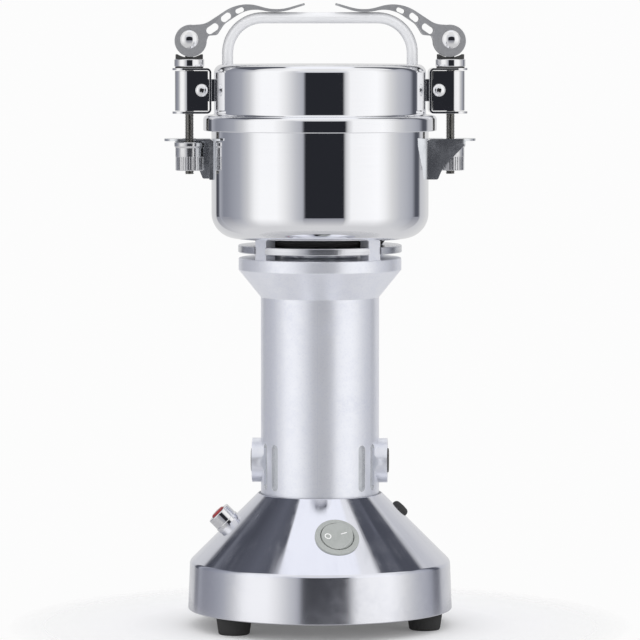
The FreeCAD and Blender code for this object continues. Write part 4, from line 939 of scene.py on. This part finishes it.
@dataclass
class Lid:
    """Mirror-polished lid with its bent handle. Sizes in millimetres."""

    cap: float = 57.2
    wall: float = 1.6
    top: float = 303.9
    skirt: float = 63.0
    skirt_bore: float = 60.4
    skirt_low: float = 268.2
    skirt_top: float = 276.6
    rod: float = 3.0
    reach: float = 49.8
    bar: float = 328.9
    bend: float = 19.0

    def build(self) -> None:
        """Build the lid's shell and its handle."""
        shape = Shape("lid_pressing").turned([
            (0.0, self.top),
            (self.cap, self.top, 4.5),
            (self.cap, self.skirt_top, 1.2),
            (self.skirt, self.skirt_top, 2.4),
            (self.skirt, self.skirt_low, 0.5),
            (self.skirt_bore, self.skirt_low, 0.4),
            (self.skirt_bore, self.skirt_top - 1.4, 1.2),
            (self.cap - self.wall, self.skirt_top - 1.4),
            (self.cap - self.wall, self.top - self.wall, 2.9),
            (0.0, self.top - self.wall),
        ], steps=200, segments=12, closed=False)
        shape.piece("lid", [MIRROR_STEEL], ["lid_shell"], crisp=60.0)
        self.handle()

    def handle(self) -> None:
        """Round bar bent twice and standing on the lid."""
        shape = Shape("bent_handle")
        start = Matrix.Translation(Vector((-self.reach, 0.0, self.top)) * MM)
        circle = bmesh.ops.create_circle(shape.mesh, cap_ends=True, segments=40, radius=self.rod * MM,
                                         matrix=start)
        loop = [edge for edge in {edge for vert in circle["verts"] for edge in vert.link_edges}]
        straight = self.bar - self.bend - self.top
        loop = self._straight(shape.mesh, loop, Vector((0, 0, straight)) * MM)
        loop = self._bend(shape.mesh, loop, Vector((-self.reach + self.bend, 0, self.bar - self.bend)) * MM)
        loop = self._straight(shape.mesh, loop, Vector((2 * (self.reach - self.bend), 0, 0)) * MM)
        loop = self._bend(shape.mesh, loop, Vector((self.reach - self.bend, 0, self.bar - self.bend)) * MM)
        loop = self._straight(shape.mesh, loop, Vector((0, 0, -straight)) * MM)
        bmesh.ops.edgeloop_fill(shape.mesh, edges=loop)
        bmesh.ops.recalc_face_normals(shape.mesh, faces=shape.mesh.faces[:])
        shape.piece("lid", [HANDLE_SATIN], ["lid_handle"])

    @staticmethod
    def _straight(mesh: Mesh, loop: list[Edge],
                  step: Vector) -> list[Edge]:
        """Extend the bar straight on.

        Args:
            mesh: mesh of the bar.
            loop: edges of its open end.
            step: how far the end moves.

        Returns:
            The edges of the new end.
        """
        made = bmesh.ops.extrude_edge_only(mesh, edges=loop)["geom"]
        points = [item for item in made if isinstance(item, bmesh.types.BMVert)]
        bmesh.ops.translate(mesh, verts=points, vec=step)
        return [item for item in made if isinstance(item, Edge)
                and all(vert in points for vert in item.verts)]

    @staticmethod
    def _bend(mesh: Mesh, loop: list[Edge],
              centre: Vector) -> list[Edge]:
        """Carry the bar's end a quarter turn round a centre.

        Args:
            mesh: mesh of the bar.
            loop: edges of its open end.
            centre: centre of the bend.

        Returns:
            The edges of the new end.
        """
        geometry = list({vert for edge in loop for vert in edge.verts}) + list(loop)
        made = bmesh.ops.spin(mesh, geom=geometry, cent=centre, axis=(0, 1, 0), dvec=(0, 0, 0),
                              angle=math.pi / 2, steps=20, use_merge=False, use_duplicate=False)
        return [item for item in made["geom_last"] if isinstance(item, Edge)]


@dataclass
class Clamp:
    """One cam-lever clamp: channel, strap, cup, saddle, pin, lever, rod and nut. Sizes in millimetres."""

    side: Side
    reach: float = 70.45
    rod_radius: float = 2.47
    rod_low: float = 244.8
    rod_high: float = 320.8
    pitch: float = 0.8
    thread_depth: float = 0.42
    pin_height: float = 317.3
    bracket_top: float = 301.9
    washer: float = 0.7
    cup_top: float = 306.7
    cup_well: float = 3.2
    nut_low: float = 246.7
    nut_top: float = 262.1
    nut_bore: float = 2.5
    nut_radius: float = 7.6
    knurl_height: float = 7.6
    knurl_depth: float = 0.38
    knurls: int = 40

    def build(self) -> None:
        """Build every piece of the clamp."""
        name = self.side.value
        refined(f"channel_{name}", CHROME, soften=0.12)
        refined(f"strap_{name}", CHROME, soften=0.12)
        refined(f"saddle_{name}", BLACK_PLASTIC_AND_SHADE, soften=0.25)
        refined(f"lever_{name}", GREY_CASTING, soften=0.3, crisp=28.0)
        self.cup()
        self.pin()
        self.rod()
        self.nut()

    @property
    def stand(self) -> Matrix:
        """Place of the rod's axis on this side."""
        return Matrix.Translation((self.side.way * self.reach * MM, 0.0, 0.0))

    def cup(self) -> None:
        """Bright cup that carries the saddle, on a thin dark washer."""
        low = self.bracket_top + self.washer
        Shape(f"cup_washer_{self.side.value}").turned([
            (2.9, self.bracket_top), (7.6, self.bracket_top, 0.1), (7.6, low, 0.1), (2.9, low)],
            steps=64).moved(self.stand).piece("lid", [BLACK_PLASTIC_AND_SHADE])
        Shape(f"bright_cup_{self.side.value}").turned([
            (2.9, low),
            (8.1, low, 0.5),
            (8.1, self.cup_top, 0.5),
            (7.45, self.cup_top, 0.12),
            (7.45, self.cup_top - self.cup_well),
            (2.9, self.cup_top - self.cup_well),
        ], steps=80).moved(self.stand).piece("lid", [CHROME], [f"saddle_cup_{self.side.value}"])

    def pin(self) -> None:
        """Cross pin with polished domed ends."""
        place = Matrix.Translation(Vector((self.side.way * self.reach, 0.0, self.pin_height)) * MM)
        Shape(f"cross_pin_{self.side.value}").turned([
            (0.0, -8.5),
            (3.0, -8.2, 5.0),
            (5.0, -6.5, 0.3),
            (5.0, 6.5, 0.3),
            (3.0, 8.2, 5.0),
            (0.0, 8.5),
        ], steps=72, segments=10, closed=False).moved(Matrix.Rotation(math.pi / 2, 4, "X"), place).piece(
            f"clamp_rod_{self.side.value}", [CHROME], [f"pin_{self.side.value}"], crisp=50.0)

    def rod(self) -> None:
        """Rod with a real helical thread, cut square at both ends."""
        shape = Shape(f"threaded_rod_{self.side.value}")
        low, high = self.rod_low - self.pitch, self.rod_high + self.pitch
        root, crest = self.rod_radius - self.thread_depth, self.rod_radius - 0.01
        heights = ((root, 0.0), (root, 0.12), (crest, 0.44), (crest, 0.56), (root, 0.88), (root, 1.0))
        points = [shape.mesh.verts.new((radius * MM, 0.0, (low + share * self.pitch) * MM))
                  for radius, share in heights]
        for first, second in zip(points, points[1:]):
            shape.mesh.edges.new((first, second))
        turns = math.ceil((high - low) / self.pitch)
        per_turn = 20
        bmesh.ops.spin(shape.mesh, geom=shape.mesh.verts[:] + shape.mesh.edges[:], cent=(0, 0, 0),
                       axis=(0, 0, 1), dvec=(0, 0, self.pitch * MM / per_turn), angle=FULL_TURN * turns,
                       steps=per_turn * turns, use_merge=False, use_duplicate=False)
        bmesh.ops.remove_doubles(shape.mesh, verts=shape.mesh.verts[:], dist=MERGE)
        for height, way in ((self.rod_low + 0.02, -1), (self.rod_high - 0.02, 1)):
            whole = shape.mesh.verts[:] + shape.mesh.edges[:] + shape.mesh.faces[:]
            bmesh.ops.bisect_plane(shape.mesh, geom=whole, dist=1e-7, plane_co=(0, 0, height * MM),
                                   plane_no=(0, 0, way), clear_outer=True)
            rim = [edge for edge in shape.mesh.edges if edge.is_boundary
                   and all(abs(vert.co.z - height * MM) < 1e-5 for vert in edge.verts)]
            bmesh.ops.holes_fill(shape.mesh, edges=rim, sides=0)
        bmesh.ops.recalc_face_normals(shape.mesh, faces=shape.mesh.faces[:])
        name = self.side.value
        shape.moved(self.stand).piece(f"clamp_rod_{name}", [BLACK_OXIDE], [f"rod_{name}"], crisp=40.0)

    def nut(self) -> None:
        """Round nut, plain above and knurled below."""
        name = self.side.value
        steps = self.knurls * 4
        split = self.nut_low + self.knurl_height
        shape = Shape(f"knurled_nut_{name}").turned([
            (self.nut_bore, self.nut_low),
            (self.nut_radius, self.nut_low, 0.45),
            (self.nut_radius, split - 0.3),
            (self.nut_radius, split),
            (self.nut_radius, self.nut_top - 3.2),
            (8.2, self.nut_top - 2.2, 0.3),
            (8.2, self.nut_top, 0.6),
            (self.nut_bore, self.nut_top),
        ], steps=steps, segments=4)
        for vert in shape.mesh.verts:
            away = math.hypot(vert.co.x, vert.co.y) / MM
            if away > self.nut_radius - 0.7 and vert.co.z < (split - 0.1) * MM:
                step = round(math.atan2(vert.co.y, vert.co.x) / FULL_TURN * steps) % 4
                drop = self.knurl_depth if step == 0 else 0.0
                vert.co.xy *= (away - drop) / away
        bmesh.ops.recalc_face_normals(shape.mesh, faces=shape.mesh.faces[:])
        shape.moved(self.stand).piece(f"clamp_nut_{name}", [KNURLED], [f"nut_{name}"], crisp=30.0)


@dataclass
class StrapScrews:
    """The two pan-head screws that hold the straps, with cross recesses. Sizes in millimetres."""

    across: float = 63.8
    height: float = 290.0
    strap: float = 7.8
    head: float = 3.4
    head_depth: float = 1.8
    shank: float = 1.75
    recess_reach: float = 1.95
    recess_depth: float = 1.3

    def build(self) -> None:
        """Build both screws as one piece, as they share one node."""
        shape = Shape("strap_fixings")
        for side in Side:
            single = Shape("single").turned([
                (0.0, self.head_depth),
                (1.2, self.head_depth - 0.06, 3.0),
                (self.head - 0.5, self.head_depth - 0.65, 2.2),
                (self.head, 0.35, 0.3),
                (self.head, 0.0, 0.1),
                (self.shank, 0.0),
                (self.shank, -2 * self.strap),
                (3.0, -2 * self.strap, 0.2),
                (3.0, -2 * self.strap - 2.2, 0.2),
                (0.0, -2 * self.strap - 2.2),
            ], steps=56, segments=5, closed=False)
            place = Matrix.Translation(Vector((side.way * self.across, -self.strap, self.height)) * MM)
            single.moved(Matrix.Rotation(math.pi / 2, 4, "X"), place)
            shape.take(single.mesh)
        made = shape.piece("lid", [SCREW_STEEL], ["strap_screws"], crisp=40.0)
        for side in Side:
            centre = Vector((side.way * self.across, -self.strap - self.head_depth, self.height)) * MM
            crossed_recess(made, centre, Vector((0, 1, 0)), self.recess_reach, self.recess_depth)


# Studio


@dataclass
class Studio:
    """Pale floor, soft surrounding light and the camera."""

    distance: float = 2.30
    camera_height: float = 0.325
    azimuth: float = -2.0
    aim: Vector = field(default_factory=lambda: Vector((0.0, 0.0, 0.1657)))
    pixel: float = 0.54
    image_width: float = 640.0
    sensor: float = 36.0
    walls: tuple[Band, ...] = (
        (-180, 0.74), (-148, 0.62), (-145, 0.06), (-139, 0.08), (-135, 0.38), (-126, 0.24), (-118, 0.26),
        (-97, 0.38), (-85, 0.60), (-75, 0.92), (-68, 1.0), (-49, 1.0), (-40, 0.85), (-27, 0.54), (-20, 0.42),
        (-17.5, 0.02), (22.5, 0.02), (25.5, 0.62), (31, 0.95), (62, 1.02), (70, 0.92), (80, 0.70), (92, 0.52),
        (105, 0.42), (113, 0.34), (120, 0.08), (127, 0.09), (132, 0.55), (152, 0.68), (180, 0.74))
    ceiling: tuple[Band, ...] = (
        (-180, 0.85), (-150, 0.80), (-143, 0.10), (-125, 0.07), (-108, 0.12), (-92, 0.08), (-88, 0.80),
        (-45, 0.95), (-20, 0.80), (20, 0.80), (45, 0.95), (97, 0.85), (101, 0.08), (111, 0.09), (113, 0.15),
        (115, 0.07), (128, 0.08), (132, 0.70), (180, 0.85))
    backdrop: float = 0.975
    fill: float = 1.18
    table: float = 0.66
    tint_from: float = 0.65
    tint: Band = (0.10, 0.50)
    ceiling_edge: Band = (32.0, 38.0)
    overhead_edge: Band = (69.5, 71.0)
    overhead: Colour = (0.95, 0.96, 1.0)
    table_edge: Band = (-42.0, -9.0)
    gap_side: Band = (26.0, 32.0)
    gap_top: Band = (13.0, 19.0)
    above_gap: Colour = (0.72, 0.73, 0.76)
    sheen_edge: Band = (-6.4, -5.4)
    sheen: Colour = (0.31, 0.315, 0.35)
    floor_radius: float = 0.17
    floor_mirrored: Colour = (0.42, 0.42, 0.43)

    def build(self) -> None:
        """Set the camera, the light and the floor."""
        self.camera()
        self.surroundings()
        self.floor()
        bpy.context.scene.view_settings.view_transform = "Standard"

    def camera(self) -> None:
        """Long lens at the photographed angle."""
        data = bpy.data.cameras.new("camera")
        data.sensor_width = self.sensor
        data.lens = self.distance / (self.pixel * MM) * data.sensor_width / self.image_width
        data.clip_end = 50.0
        made = bpy.data.objects.new("camera", data)
        bpy.context.scene.collection.objects.link(made)
        angle = math.radians(self.azimuth)
        made.location = Vector((math.sin(angle) * self.distance, -math.cos(angle) * self.distance,
                                self.camera_height))
        made.rotation_euler = (self.aim - made.location).to_track_quat("-Z", "Y").to_euler()
        bpy.context.scene.camera = made

    def surroundings(self) -> None:
        """Soft boxes, dark gaps and backdrop as one surrounding light."""
        world = bpy.data.worlds.new("studio_light")
        bpy.context.scene.world = world
        world.use_nodes = True
        tree = world.node_tree
        place = NodeKit.add(tree, "TexCoord", {}).outputs["Generated"]
        parts = NodeKit.add(tree, "SeparateXYZ", {0: place}).outputs
        toward = NodeKit.maths(tree, "MULTIPLY", parts["Y"], -1.0)
        turn = NodeKit.maths(tree, "ARCTAN2", parts["X"], toward)
        rise = NodeKit.maths(tree, "ARCSINE", parts["Z"])
        share = NodeKit.span(tree, turn, -math.pi, math.pi)
        front = self._fade(tree, NodeKit.maths(tree, "ABSOLUTE", turn), self.gap_side, 1.0, 0.0)
        clear = NodeKit.maths(tree, "MULTIPLY", front, self._fade(tree, rise, self.gap_top))
        walls = NodeKit.mix(tree, clear, self._ramp(tree, share, self.walls), (*self.above_gap, 1.0))
        low = self._fade(tree, rise, self.sheen_edge, 1.0, 0.0)
        walls = NodeKit.mix(tree, low, walls, (*self.sheen, 1.0), blend="LIGHTEN")
        ceiling = self._ramp(tree, share, self.ceiling)
        light = NodeKit.mix(tree, self._fade(tree, rise, self.ceiling_edge), walls, ceiling)
        light = NodeKit.mix(tree, self._fade(tree, rise, self.overhead_edge), light, (*self.overhead, 1.0))
        below = self._fade(tree, rise, self.table_edge, 1.0, 0.0)
        light = NodeKit.mix(tree, below, light, (self.table, self.table, self.table * 1.01, 1.0))
        ray = NodeKit.add(tree, "LightPath", {}).outputs
        light = NodeKit.mix(tree, ray["Is Diffuse Ray"], light, (self.fill, self.fill, self.fill * 1.01, 1.0))
        light = NodeKit.mix(tree, ray["Is Camera Ray"], light, (*[self.backdrop] * 3, 1.0))
        NodeKit.feed(tree, tree.nodes["Background"], {"Color": light, "Strength": 1.0})

    @staticmethod
    def _fade(tree: Tree, angle: Socket, edge: Band, before: float = 0.0, after: float = 1.0) -> Socket:
        """Go from one value to another over a band of angles, given in degrees."""
        return NodeKit.span(tree, angle, math.radians(edge[0]), math.radians(edge[1]), before, after)

    def _ramp(self, tree: Tree, share: Socket, stops: Sequence[Band]) -> Socket:
        """Ramp of brightness round the horizon, a little bluer where it is dark.

        Args:
            tree: world's tree.
            share: direction from 0 to 1.
            stops: direction in degrees and brightness.

        Returns:
            The ramp's colour socket.
        """
        node = NodeKit.add(tree, "ValToRGB", {"Fac": share})
        elements = node.color_ramp.elements
        green, blue = self.tint
        for index, (turn, light) in enumerate(stops):
            place = (turn + 180.0) / 360.0
            element = elements[index] if index < 2 else elements.new(place)
            element.position = place
            dark = max(0.0, self.tint_from - light)
            element.color = (light, light * (1.0 + green * dark), light * (1.0 + blue * dark), 1.0)
        return node.outputs["Color"]

    def floor(self) -> None:
        """Pale round table top whose rim fades into the backdrop."""
        shape = bmesh.new()
        bmesh.ops.create_circle(shape, cap_ends=True, segments=96, radius=self.floor_radius * 2)
        data = bpy.data.meshes.new("floor")
        shape.to_mesh(data)
        shape.free()
        made = bpy.data.objects.new("floor", data)
        bpy.context.scene.collection.objects.link(made)
        material = bpy.data.materials.new("pale_floor")
        material.use_nodes = True
        tree = material.node_tree
        place = NodeKit.add(tree, "TexCoord", {}).outputs["Object"]
        noise = NodeKit.add(tree, "TexNoise", {"Vector": place, "Scale": 3.0}).outputs["Fac"]
        tone = NodeKit.mix(tree, noise, (0.80, 0.80, 0.81, 1.0), (0.82, 0.82, 0.82, 1.0))
        mirrored = NodeKit.add(tree, "LightPath", {}).outputs["Is Glossy Ray"]
        away = NodeKit.add(tree, "VectorMath", {0: place}, operation="LENGTH").outputs["Value"]
        NodeKit.feed(tree, tree.nodes["Principled BSDF"], {
            "Base Color": NodeKit.mix(tree, mirrored, tone, (*self.floor_mirrored, 1.0)),
            "Roughness": 0.9,
            "Specular IOR Level": 0.1,
            "Emission Color": NodeKit.mix(tree, noise, (0.985, 0.985, 1.0, 1.0), (1.0, 1.0, 1.0, 1.0)),
            "Emission Strength": 0.10,
            "Alpha": NodeKit.span(tree, away, self.floor_radius * 0.6, self.floor_radius, 1.0, 0.0),
        })
        data.materials.append(material)


def main() -> None:
    """Build the studio and every sub-assembly in order."""
    logging.basicConfig(level=logging.INFO, format="%(message)s")
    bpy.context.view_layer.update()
    Studio().build()
    Base().build()
    Tower().build()
    Drive().build()
    Bowl().build()
    Lid().build()
    for side in Side:
        Clamp(side).build()
    StrapScrews().build()


if __name__ == "__main__":
    main()
